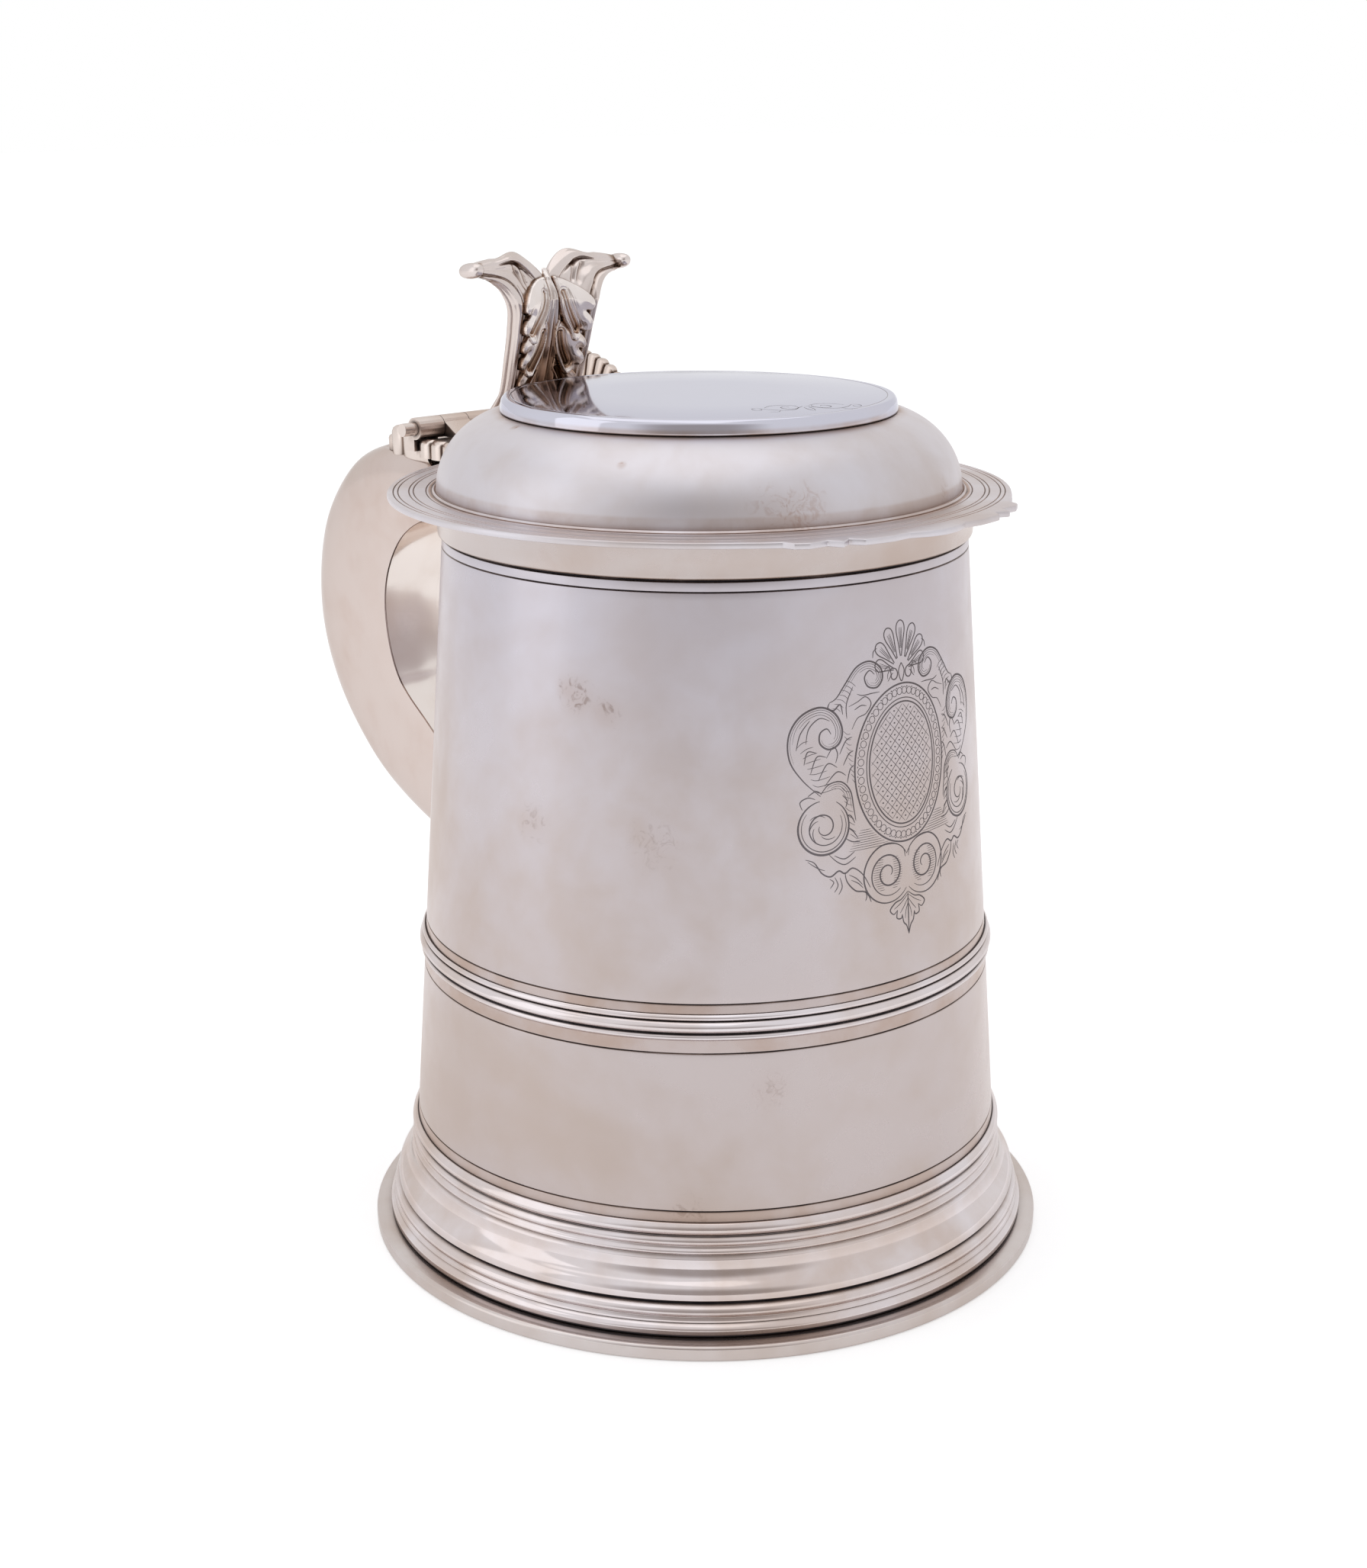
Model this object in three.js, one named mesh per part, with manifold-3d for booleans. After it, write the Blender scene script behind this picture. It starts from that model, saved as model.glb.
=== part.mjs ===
// A silver tankard with a hinged dome lid, in millimetres.
// The origin is on the drum's axis at the table, +Z is up and +X points at the handle.

import * as THREE from "three";
import { mergeVertices } from "three/addons/utils/BufferGeometryUtils.js";
import Module from "manifold-3d";

const wasm = await Module();
wasm.setup();

// Drum
const drumTableRadius = 57.75;     // what the straight side would reach at the table
const drumLipRadius = 47.9;        // the same side at the lip
const lipHeight = 141.8;
const drumWall = 1.2;
const drumBottomZ = 1.2;
const bottomPlateThickness = 1.4;
const bottomPlateDish = 0.5;       // how much the floor's middle stands above its edge

// Applied bands
const solderGap = 0.05;            // between coaxial rings that are soldered together
const seatGap = 0.15;              // between pieces that are cut to each other's outline
const lipBandHeight = 6.2;
const lipBandThickness = 0.75;
const lipFlare = 1.7;              // how far the lip stands outside the band's lower edge line
const lipEdgeRound = 0.35;
const midBandTop = 60.5;
const midBandBottom = 55.8;
const midBandThickness = 0.7;
const midBandReedBulge = 0.5;
const midBandReeds = 3;

// Foot
const footTop = 22.5;
const footMouldingStep = 6;       // from the drum's side to the moulding's widest line
const footRimRadius = 65;
const footRimHeight = 3.05;
const footRimLedge = 3.6;          // width of the ring that touches the table
const footRimBevel = 0.4;
const footRimWeb = 1.3;            // thickness of the rim where it runs in under the moulding

// Lid
const lidRest = 0.3;               // the lid's flange above the lip, where the two meet
const lidShift = 1.6;              // how far the lid sits towards the handle
const flangeRadius = 57.1;
const flangeThickness = 1.1;
const flangeBevel = 0.3;
const domeStepHeight = 0.3;        // a fine fillet round the dome's foot
const domeStepWidth = 0.7;
const domeRadius = 48.2;
const domeNeckRadius = 33;         // where the dome ends in its flat top
const domeRise = 14.1;
const domeWall = 1.1;
const topPlateRadius = 36.3;
const topPlateThickness = 2.4;
const topPlateBevel = 0.4;
const bezelDepth = 5.2;
const bezelWall = 0.9;
const bezelClearance = 0.5;        // radial, inside the drum's mouth

// Shaped front of the flange, as shares of the flange radius by angle from the front in degrees
const frontSpan = 41;
const frontOutlineShares = [
  [0, 1.063],
  [3, 1.057],
  [6.8, 1.036],
  [10.7, 1.051],
  [16.1, 1.057],
  [18.1, 1.027],
  [20, 1.061],
  [21.9, 1.026],
  [25.3, 1.05],
  [27.8, 1.043],
  [29.3, 1.016],
  [32.2, 1.012],
  [36, 1.004],
  [41, 1],
];

// Handle: its outer and inner lines in side view, as shares of its reach and height
const handleReach = 68;            // from the drum's side at the lower joint to the outermost point
const handleShoulder = 2;          // how far its highest line stands above the lip
const handleRootDepth = 4.5;       // how far its lower end would reach into the drum's side
const handleWall = 1;
const handleStripThickness = 1.2;
const handleHalfWidth = 16;
const handleOuterShares = [
  [-0.12, 0.9],
  [0.024, 0.941],
  [0.244, 0.989],
  [0.479, 0.998],
  [0.715, 0.938],
  [0.921, 0.782],
  [1, 0.57],
  [0.943, 0.372],
  [0.759, 0.195],
  [0.509, 0.082],
  [0.215, 0.018],
  [-0.05, -0.01],
];
const handleInnerShares = [
  [-0.12, 0.8],
  [0.006, 0.82],
  [0.185, 0.855],
  [0.354, 0.803],
  [0.465, 0.695],
  [0.501, 0.57],
  [0.465, 0.441],
  [0.347, 0.345],
  [0.207, 0.252],
  [0.119, 0.191],
  [0.082, 0.144],
  [0.04, 0.1],
];
const handleWidthShares = [1, 1, 1, 0.988, 0.938, 0.875, 0.813, 0.75, 0.7, 0.65, 0.606, 0.59];
const handleRoundness = [0.3, 0.3, 0.3, 0.36, 0.48, 0.6, 0.66, 0.66, 0.66, 0.66, 0.66, 0.66];

// Hinge
const hingeReach = 16.7;           // from the drum's lip out to the pin's axis
const hingeRise = 7.1;             // from the drum's lip up to the pin's axis
const barrelRadius = 2.2;
const barrelHalfLength = 18;
const pinRadius = 1.3;
const pinClearance = 0.06;
const knuckleGap = 0.12;
const middleKnuckleHalf = 5.8;
const lidKnuckleOuter = 12;
const barrelClearance = 0.25;      // between a knuckle and the plate of the other leaf
const pinStub = 3;                 // how far the plain end stands out of the barrel
const lidLeafInset = 1.9;          // how far the lid's leaf reaches in past the lip, under the dome's side
const lidLeafHalfWidth = 17.6;
const lidLeafThickness = 3.7;
const lidLeafBevel = 0.8;
const leafEdgeGap = 0.2;           // each leaf's edge from the hinge's middle plane
const flutePitch = 3.7;
const fluteDepth = 0.9;
const handleLeafSeatRise = 0.8;    // the flat cut in the handle's shoulder, above the lip
const handleLeafFloor = 1.7;
const handleLeafLength = 19.2;
const handleLeafHalfWidth = 16.2;
const shellWall = 1.7;
const shellFlutes = 17;
const shellFluteDepth = 0.7;
const shellRimLow = 2.4;           // height of the shell's rim at its middle, above the seat
const shellRimEar = 5.9;           // the same at the two ears beside the barrel
const knuckleFootLength = 6;
const knuckleFootHeight = 1.2;

// Shell head on the pin's far end
const headRadius = 22.3;
const headDrop = 9.2;              // from the pin's axis down to the point that its ribs start from
const headLean = 4.5;                // the same point's distance towards the lid
const headThickness = 1.1;
const headRibRise = 0.55;
const headRibs = 9;
const headHalfAngle = 33;
const headTilt = 6;
const headScallop = 0.5;
const headBossRadius = 3.2;
const headGap = 2.2;               // from the barrel's end to the head

// Thumbpiece
const thumbHeight = 36.4;
const thumbHalfWidth = 18.4;
const thumbThickness = 4;
const thumbRollRadius = 1.25;
const thumbRollLength = 5;
const thumbBorder = 1.5;
const thumbBorderRise = 0.8;
const thumbSeat = 0.12;
// The outer edge of one half, from the foot to the roll, as shares of half width and height
const thumbOuterShares = [
  [0.5, 0],
  [0.49, 0.14],
  [0.485, 0.28],
  [0.5, 0.44],
  [0.515, 0.62],
  [0.55, 0.74],
  [0.66, 0.835],
  [0.82, 0.88],
  [0.99, 0.875],
];
// The inner edge of the same half: the middle line, the notch, the hump, the dip and the roll
const thumbInnerShares = [
  [0, 0],
  [0, 0.16],
  [0, 0.34],
  [0, 0.54],
  [0, 0.76],
  [0.05, 0.89],
  [0.34, 1],
  [0.65, 0.975],
  [0.97, 0.985],
];
// The front face's distance from the drum's axis, as shares of the thumbpiece's height over the reach
const thumbInset = 17.1;           // from the pin's axis in to the line that the shares are taken from
const thumbFrontShares = [
  [0, 1.06],
  [0.14, 1.01],
  [0.28, 0.952],
  [0.44, 0.915],
  [0.62, 0.881],
  [0.76, 0.862],
  [0.88, 0.876],
  [1, 0.92],
];
const thumbFootThickness = 7;
const thumbFootShare = 0.25;       // the foot tapers to the stem's thickness over this height

// Leaf on the thumbpiece's front
const leafLow = 0.24;
const leafHigh = 0.885;
const leafHalfWidthShare = 0.4;
const leafThickness = 1;
const leafSeat = 0.3;              // between the leaf and the dome and disc
const leafBed = 0.2;               // how deep the leaf is let into the thumbpiece
const leafGap = 0.05;
const leafVeinRise = 0.55;
const leafLobes = 4;
const leafLobeDepthShare = 0.34;
const leafLobeLean = 0.1;          // how far each lobe droops, as a share of its length
const leafTipShare = 0.2;          // the share of the leaf's length over which it narrows to its tip
const leafTipWidthShare = 0.12;

// Counts
const roundSegments = 40;
const beadSteps = 3;
const domeSteps = 7;
const frontSteps = 34;
const handleSteps = 26;
const handleArcSteps = 12;
const pinSegments = 24;
const thumbSteps = 18;
const leafSteps = 32;
const fluteSteps = 4;              // columns in one flute or rib
const rollCapSteps = 3;
const rollSegments = 10;
const footOgeeSteps = 5;

// Plain numbers
const half = 0.5;
const fullTurn = Math.PI + Math.PI;
const halfTurn = Math.PI;
const quarterTurn = Math.PI * half;
const weldTolerance = 1e-4;
const overrun = 20;                // how far a cutter runs past what it cuts

// Places that follow from the sizes above
const handleFootZ = midBandBottom;
const handleFootX = drumRadius(handleFootZ) - handleRootDepth;
const handleHeight = lipHeight + handleShoulder - handleFootZ;
const hingeX = drumLipRadius + hingeReach;
const hingeZ = lipHeight + hingeRise;
const lidLeafInnerX = drumLipRadius - lidLeafInset;
const handleLeafSeatZ = lipHeight + handleLeafSeatRise;
const thumbReach = hingeX - thumbInset;
const flangeBottom = lipHeight + lidRest;
const flangeTop = flangeBottom + flangeThickness;
const domeBase = flangeTop + domeStepHeight;
const domeTop = domeBase + domeRise;
const lidLeafBottom = flangeTop + solderGap;
const lidLeafTop = lidLeafBottom + lidLeafThickness;
const thumbBottom = lidLeafTop + solderGap;
const drumMouth = drumLipRadius - drumWall;
const bezelOuter = drumMouth - bezelClearance;
const bezelInner = bezelOuter - bezelWall;
const lidHole = bezelInner - lidShift;
const boreRadius = pinRadius + pinClearance;

const silver = { color: 0xc8c0be, metalness: 1, roughness: 0.3 };
const polishedSilver = { color: 0xd0cdd2, metalness: 1, roughness: 0.12 };
const castSilver = { color: 0xb9ada6, metalness: 1, roughness: 0.38 };

function drumRadius(z) {
  return THREE.MathUtils.mapLinear(z, 0, lipHeight, drumTableRadius, drumLipRadius);
}

// Solids

function signedVolume(positions, index) {
  const a = new THREE.Vector3();
  const b = new THREE.Vector3();
  const c = new THREE.Vector3();
  let sum = 0;
  for (let i = 0; i < index.length; i += 3) {
    a.fromArray(positions, index[i] * 3);
    b.fromArray(positions, index[i + 1] * 3);
    c.fromArray(positions, index[i + 2] * 3);
    sum += a.dot(b.cross(c));
  }
  return sum;
}

// Welds a geometry's vertices, drops triangles without an area and turns its faces outwards.
function closedBody(geometry) {
  const plain = new THREE.BufferGeometry();
  plain.setAttribute("position", geometry.getAttribute("position").clone());
  plain.setIndex(geometry.getIndex());
  const welded = mergeVertices(plain, weldTolerance);
  const all = welded.getIndex().array;
  const kept = [];
  for (let i = 0; i < all.length; i += 3) {
    const [a, b, c] = [all[i], all[i + 1], all[i + 2]];
    if (a !== b && b !== c && c !== a) kept.push(a, b, c);
  }
  if (signedVolume(welded.getAttribute("position").array, kept) < 0) kept.reverse();
  welded.setIndex(kept);
  welded.computeVertexNormals();
  return welded;
}

function bodyFromGrid(columns, closedAcross, closedAlong, caps = []) {
  const rows = columns[0].length;
  const positions = columns.flat().flatMap((point) => point.toArray());
  const index = [];
  const columnPairs = closedAlong ? columns.length : columns.length - 1;
  const rowPairs = closedAcross ? rows : rows - 1;
  for (let i = 0; i < columnPairs; i += 1) {
    const near = i * rows;
    const far = ((i + 1) % columns.length) * rows;
    for (let j = 0; j < rowPairs; j += 1) {
      const next = (j + 1) % rows;
      index.push(near + j, near + next, far + next);
      index.push(near + j, far + next, far + j);
    }
  }
  for (const { column, outline, flip } of caps) {
    for (const face of THREE.ShapeUtils.triangulateShape(outline, [])) {
      const order = flip ? [face[0], face[2], face[1]] : face;
      index.push(...order.map((corner) => column * rows + corner));
    }
  }
  const geometry = new THREE.BufferGeometry();
  geometry.setAttribute("position", new THREE.Float32BufferAttribute(positions, 3));
  geometry.setIndex(index);
  return closedBody(geometry);
}

// A loft through sections of equal count; outlines are the first and last sections laid flat.
function loft(sections, firstOutline, lastOutline) {
  const turnsLeft = (outline) => THREE.ShapeUtils.area(outline) > 0;
  const caps = [
    { column: 0, outline: firstOutline, flip: turnsLeft(firstOutline) },
    { column: sections.length - 1, outline: lastOutline, flip: !turnsLeft(lastOutline) },
  ];
  return closedOrFlipped(sections, caps);
}

// The caps' turn depends on the section's own turn, so the pair that closes the body is kept.
function closedOrFlipped(sections, caps) {
  const body = bodyFromGrid(sections, true, false, caps);
  if (isClosed(body)) return body;
  const flipped = caps.map((cap) => ({ ...cap, flip: !cap.flip }));
  return bodyFromGrid(sections, true, false, flipped);
}

function isClosed(geometry) {
  const index = geometry.getIndex().array;
  const edges = new Set();
  for (let i = 0; i < index.length; i += 3) {
    const corners = [index[i], index[i + 1], index[i + 2]];
    corners.forEach((corner, k) => edges.add(`${corner}_${corners[(k + 1) % 3]}`));
  }
  return [...edges].every((edge) => edges.has(edge.split("_").reverse().join("_")));
}

function spun(profile, segments = roundSegments) {
  const points = profile.map(([r, z]) => new THREE.Vector2(r, z));
  const lathe = new THREE.LatheGeometry(points, segments);
  lathe.rotateX(quarterTurn);
  return closedBody(lathe);
}

function spunRing(profile, segments = roundSegments) {
  return spun([...profile, profile[0]], segments);
}

function toSolid(geometry) {
  const body = closedBody(geometry);
  const vertProperties = Float32Array.from(body.getAttribute("position").array);
  const triVerts = Uint32Array.from(body.getIndex().array);
  return new wasm.Manifold(new wasm.Mesh({ numProp: 3, vertProperties, triVerts }));
}

function toGeometry(solid) {
  const mesh = solid.getMesh();
  const geometry = new THREE.BufferGeometry();
  geometry.setAttribute("position", new THREE.BufferAttribute(mesh.vertProperties, 3));
  geometry.setIndex(new THREE.BufferAttribute(mesh.triVerts, 1));
  return closedBody(geometry);
}

function joined(...geometries) {
  return toGeometry(geometries.map(toSolid).reduce((whole, next) => whole.add(next)));
}

function carved(geometry, ...cutters) {
  return toGeometry(cutters.map(toSolid).reduce((left, cut) => left.subtract(cut), toSolid(geometry)));
}

function blockBetween(low, high) {
  const size = high.map((value, axis) => value - low[axis]);
  const middle = high.map((value, axis) => (value + low[axis]) * half);
  return new THREE.BoxGeometry(...size).translate(...middle);
}

// A solid with an outline in XZ that reaches from one Y to another
function acrossHinge(outline, fromY, toY) {
  const shape = new THREE.Shape(outline.map(([x, z]) => new THREE.Vector2(x, z)));
  const options = { depth: toY - fromY, bevelEnabled: false };
  const solid = new THREE.ExtrudeGeometry(shape, options);
  return closedBody(solid.rotateX(quarterTurn).translate(0, toY, 0));
}

function hingeCylinder(radius, fromY, toY) {
  const solid = new THREE.CylinderGeometry(radius, radius, toY - fromY, pinSegments);
  return closedBody(solid.translate(hingeX, (fromY + toY) * half, hingeZ));
}

function interpolate(table, at) {
  const last = table.length - 1;
  for (let i = 0; i < last; i += 1) {
    const [here, value] = table[i];
    const [there, nextValue] = table[i + 1];
    if (at <= there) return THREE.MathUtils.mapLinear(Math.max(at, here), here, there, value, nextValue);
  }
  return table[last][1];
}

function splineThrough(places, at) {
  const curve = new THREE.SplineCurve(places.map(([a, b]) => new THREE.Vector2(a, b)));
  return curve.getPoint(at);
}

function listAt(values, at) {
  return splineThrough(values.map((value, i) => [i, value]), at).y;
}

// Points of a half-round member of a moulding, from low to high
function bead(radius, lowZ, highZ, bulge) {
  return Array.from({ length: beadSteps + 1 }, (_, i) => {
    const turn = halfTurn * (i / beadSteps);
    return [radius + bulge * Math.sin(turn), THREE.MathUtils.lerp(lowZ, highZ, i / beadSteps)];
  });
}

// Drum, bands and foot

function bodyDrum() {
  const innerFloor = drumRadius(drumBottomZ) - drumWall;
  return spunRing([
    [innerFloor, drumBottomZ],
    [drumRadius(drumBottomZ), drumBottomZ],
    [drumRadius(footTop), footTop],
    [drumRadius(midBandBottom), midBandBottom],
    [drumRadius(lipHeight), lipHeight - lipEdgeRound],
    [drumRadius(lipHeight) - lipEdgeRound, lipHeight],
    [drumMouth + lipEdgeRound, lipHeight],
    [drumMouth, lipHeight - lipEdgeRound],
  ]);
}

function bottomPlate() {
  const edge = drumRadius(drumBottomZ) - drumWall - solderGap * 2;
  const top = drumBottomZ + bottomPlateThickness;
  return spun([
    [0, drumBottomZ],
    [edge, drumBottomZ],
    [drumRadius(top) - drumWall - solderGap * 2, top],
    [edge * half, top + bottomPlateDish * half],
    [0, top + bottomPlateDish],
  ]);
}

function lipMoulding() {
  const low = lipHeight - lipBandHeight;
  const inner = (z) => drumRadius(z) + solderGap;
  const outerTop = drumRadius(lipHeight) + lipBandThickness + lipFlare;
  return spunRing([
    [inner(low), low],
    [inner(low) + lipBandThickness - lipEdgeRound, low],
    [inner(low) + lipBandThickness, low + lipEdgeRound],
    [THREE.MathUtils.lerp(drumRadius(low) + lipBandThickness, outerTop, half * half), lipHeight - lipBandHeight * half],
    [outerTop, lipHeight - lipEdgeRound],
    [outerTop - lipEdgeRound, lipHeight],
    [inner(lipHeight), lipHeight],
  ]);
}

function midBand() {
  const inner = (z) => drumRadius(z) + solderGap;
  const reedHeight = (midBandTop - midBandBottom) / midBandReeds;
  const reeds = Array.from({ length: midBandReeds }, (_, i) => {
    const low = midBandBottom + reedHeight * i;
    return bead(inner(low) + midBandThickness - midBandReedBulge, low, low + reedHeight, midBandReedBulge);
  });
  return spunRing([[inner(midBandBottom), midBandBottom], ...reeds.flat(), [inner(midBandTop), midBandTop]]);
}

// Members of the foot moulding from low to high: low, high, radius and bulge as shares
const footLowerShares = [
  [0.041, 0.11, 0.875, 0.125],
  [0.119, 0.14, 0.84, 0.03],
  [0.171, 0.254, 0.786, 0.063],
];
const footUpperShares = [
  [0.694, 0.756, 0.16, 0.07],
  [0.777, 0.855, 0.125, 0.07],
  [0.87, 0.995, 0.07, 0.125],
];
const footUndercutShare = [0.59, 0.29];
const footOgeeShares = [
  [0.714, 0.321],
  [0.72, 0.5],
  [0.25, 0.42],
  [0.25, 0.658],
];

function footMoulding() {
  const low = footRimHeight + seatGap;
  const height = footTop - low;
  const baseRadius = drumRadius(footTop);
  const place = ([r, z]) => [baseRadius + footMouldingStep * r, low + height * z];
  const member = ([lowShare, highShare, radiusShare, bulgeShare]) => {
    const [radius, lowZ] = place([radiusShare, lowShare]);
    return bead(radius, lowZ, place([0, highShare])[1], footMouldingStep * bulgeShare);
  };
  const [a, b, c, d] = footOgeeShares.map(place).map(([r, z]) => new THREE.Vector2(r, z));
  const ogee = new THREE.CubicBezierCurve(a, b, c, d).getPoints(footOgeeSteps).map((p) => p.toArray());
  const innerLow = drumRadius(drumBottomZ) + solderGap;
  return spunRing([
    [innerLow, low],
    place([footLowerShares[0][2], 0]),
    ...footLowerShares.flatMap(member),
    place(footUndercutShare),
    ...ogee,
    ...footUpperShares.flatMap(member),
    [drumRadius(footTop) + solderGap, footTop],
  ]);
}

function footRim() {
  const inner = drumRadius(drumBottomZ) + solderGap;
  const ledge = footRimRadius - footRimLedge;
  return spunRing([
    [ledge, 0],
    [footRimRadius - footRimBevel * half, 0],
    [footRimRadius, footRimBevel * half],
    [footRimRadius, footRimHeight - footRimBevel],
    [footRimRadius - footRimBevel, footRimHeight],
    [inner, footRimHeight],
    [inner, footRimHeight - footRimWeb],
    [ledge - footRimWeb * half, footRimHeight - footRimWeb],
  ]);
}

// Lid

function domeOutline(offset, steps = domeSteps) {
  return Array.from({ length: steps + 1 }, (_, i) => {
    const turn = quarterTurn * (i / steps);
    const r = domeNeckRadius + (domeRadius - domeNeckRadius + offset) * Math.cos(turn);
    return [r, domeBase + (domeRise + offset) * Math.sin(turn)];
  });
}

function flangeEdge(angleFromFront) {
  const away = Math.abs(THREE.MathUtils.radToDeg(angleFromFront));
  return away > frontSpan ? flangeRadius : flangeRadius * interpolate(frontOutlineShares, away);
}

function lidProfile(angleFromFront) {
  const edge = flangeEdge(angleFromFront);
  return [
    [0, domeTop],
    ...domeOutline(0).reverse(),
    [domeRadius + domeStepWidth, flangeTop],
    [edge - flangeBevel, flangeTop],
    [edge, flangeTop - flangeBevel],
    [edge, flangeBottom],
    [lidHole, flangeBottom],
    [lidHole, flangeTop],
    [domeRadius - domeWall, flangeTop],
    ...domeOutline(-domeWall),
    [0, domeTop - domeWall],
  ];
}

// Column angles from the front: fine over the shaped edge, coarse behind
function lidAngles() {
  const span = THREE.MathUtils.degToRad(frontSpan);
  const front = Array.from({ length: frontSteps + 1 }, (_, i) => THREE.MathUtils.lerp(-span, span, i / frontSteps));
  const backSteps = Math.round(roundSegments * (1 - span / halfTurn));
  const back = Array.from({ length: backSteps - 1 }, (_, i) => {
    return span + (fullTurn - span - span) * ((i + 1) / backSteps);
  });
  return [...front, ...back];
}

function lidCover() {
  const columns = lidAngles().map((angle) => {
    const wrapped = angle > halfTurn ? angle - fullTurn : angle;
    return lidProfile(wrapped).map(([r, z]) => {
      return new THREE.Vector3(lidShift - r * Math.cos(angle), -r * Math.sin(angle), z);
    });
  });
  return bodyFromGrid(columns, false, true);
}

function lidTopPlate() {
  const low = domeTop + solderGap;
  const high = low + topPlateThickness;
  return spun([
    [0, low],
    [topPlateRadius - topPlateBevel, low],
    [topPlateRadius, low + topPlateBevel],
    [topPlateRadius, high - topPlateBevel],
    [topPlateRadius - topPlateBevel, high],
    [0, high],
  ]).translate(lidShift, 0, 0);
}

function lidBezel() {
  const high = flangeBottom - solderGap;
  const low = high - bezelDepth;
  return spunRing([
    [bezelInner, low],
    [bezelOuter - bezelWall * half, low],
    [bezelOuter, low + bezelWall],
    [bezelOuter, high],
    [bezelInner, high],
  ]);
}

// Everything that the pieces on the lid have to stand clear of
function lidEnvelope(gap) {
  return spun([
    [0, domeBase - domeRise],
    [domeRadius + domeStepWidth + gap, domeBase - domeRise],
    [domeRadius + domeStepWidth + gap, flangeTop + gap],
    ...domeOutline(gap),
    [topPlateRadius + gap, domeTop - domeStepWidth + gap],
    [topPlateRadius + gap, domeTop + topPlateThickness + gap],
    [0, domeTop + topPlateThickness + gap],
  ]).translate(lidShift, 0, 0);
}

// Handle

function handlePlace(shares, at) {
  const point = splineThrough(shares, at);
  return new THREE.Vector2(handleFootX + handleReach * point.x, handleFootZ + handleHeight * point.y);
}

// The frame of one section: its inner point, the way outwards, its depth and its half width
function handleFrame(at) {
  const inner = handlePlace(handleInnerShares, at);
  const outward = handlePlace(handleOuterShares, at).sub(inner);
  const depth = outward.length();
  const width = handleHalfWidth * listAt(handleWidthShares, at);
  return { inner, outward: outward.normalize(), depth, width, squareness: listAt(handleRoundness, at) };
}

function placeInFrame(frame, [side, out]) {
  const x = frame.inner.x + frame.outward.x * out;
  const z = frame.inner.y + frame.outward.y * out;
  return new THREE.Vector3(x, side, z);
}

function handleArc(frame, wall) {
  return Array.from({ length: handleArcSteps + 1 }, (_, i) => {
    const turn = halfTurn * (i / handleArcSteps);
    const bend = (value) => Math.sign(value) * Math.abs(value) ** frame.squareness;
    const lift = i === 0 || i === handleArcSteps ? 0 : bend(Math.sin(turn));
    return [(frame.width - wall) * bend(Math.cos(turn)), (frame.depth - wall) * lift];
  });
}

function handleLoft(outlineOf) {
  const frames = Array.from({ length: handleSteps + 1 }, (_, i) => handleFrame(i / handleSteps));
  const outlines = frames.map(outlineOf);
  const sections = outlines.map((outline, i) => outline.map((place) => placeInFrame(frames[i], place)));
  const flat = (outline) => outline.map(([a, b]) => new THREE.Vector2(a, b));
  return loft(sections, flat(outlines[0]), flat(outlines[handleSteps]));
}

// What the handle's ends are cut to: the drum's side, the bands on it and the lid's flange
function drumEnvelope(gap) {
  const lipLow = lipHeight - lipBandHeight - gap;
  const lipOut = drumRadius(lipHeight) + lipBandThickness + lipFlare + gap;
  const bandOut = drumRadius(midBandBottom) + midBandThickness + gap * 2;
  return spun([
    [0, footTop],
    [drumRadius(footTop) + gap, footTop],
    [drumRadius(midBandBottom) + gap, midBandBottom - gap],
    [bandOut, midBandBottom - gap],
    [bandOut, midBandTop + gap],
    [drumRadius(midBandTop) + gap, midBandTop + gap],
    [drumRadius(lipLow) + gap, lipLow],
    [drumRadius(lipLow) + lipBandThickness + gap + gap, lipLow],
    [lipOut, lipHeight],
    [lipOut, lipHeight + overrun],
    [0, lipHeight + overrun],
  ]);
}

// Room under and round the lid's flange, for a handle whose shoulder reaches under it
function flangeRoom(gap) {
  return spun([
    [0, flangeBottom - gap],
    [flangeRadius + gap, flangeBottom - gap],
    [flangeRadius + gap, domeTop],
    [0, domeTop],
  ]).translate(lidShift, 0, 0);
}

function handleBack() {
  const channel = handleLoft((frame) => [...handleArc(frame, 0), ...handleArc(frame, handleWall).reverse()]);
  const seat = blockBetween(
    [hingeX + leafEdgeGap - seatGap, -handleHalfWidth - overrun, handleLeafSeatZ],
    [hingeX + handleLeafLength + seatGap, handleHalfWidth + overrun, handleLeafSeatZ + overrun],
  );
  const leafRoom = blockBetween(
    [0, -handleHalfWidth - overrun, lidLeafBottom - lidRest],
    [hingeX + leafEdgeGap, handleHalfWidth + overrun, lidLeafTop],
  );
  return carved(channel, drumEnvelope(seatGap), flangeRoom(lidRest), leafRoom, seat);
}

function handleInner() {
  const strip = handleLoft((frame) => {
    const side = frame.width - handleWall - seatGap - solderGap;
    return [[side, 0], [side, handleStripThickness], [-side, handleStripThickness], [-side, 0]];
  });
  return carved(strip, drumEnvelope(seatGap));
}

// Hinge

// One rib of a fluted edge: the share of its width and the share of the flute's depth
const ribShares = [[0, 1], [0.12, 0.35], [0.3, 0.06], [0.5, 0], [0.7, 0.06], [0.88, 0.35]];

// One side of a fluted edge along X: narrow grooves between flat-backed ribs
function flutedSide(fromX, toX, y) {
  const count = Math.round(Math.abs(toX - fromX) / flutePitch);
  const points = [];
  for (let i = 0; i < count; i += 1) {
    for (const [along, deep] of ribShares) {
      const x = THREE.MathUtils.lerp(fromX, toX, (i + along) / count);
      points.push([x, y - Math.sign(y) * fluteDepth * deep]);
    }
  }
  return points;
}

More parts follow.
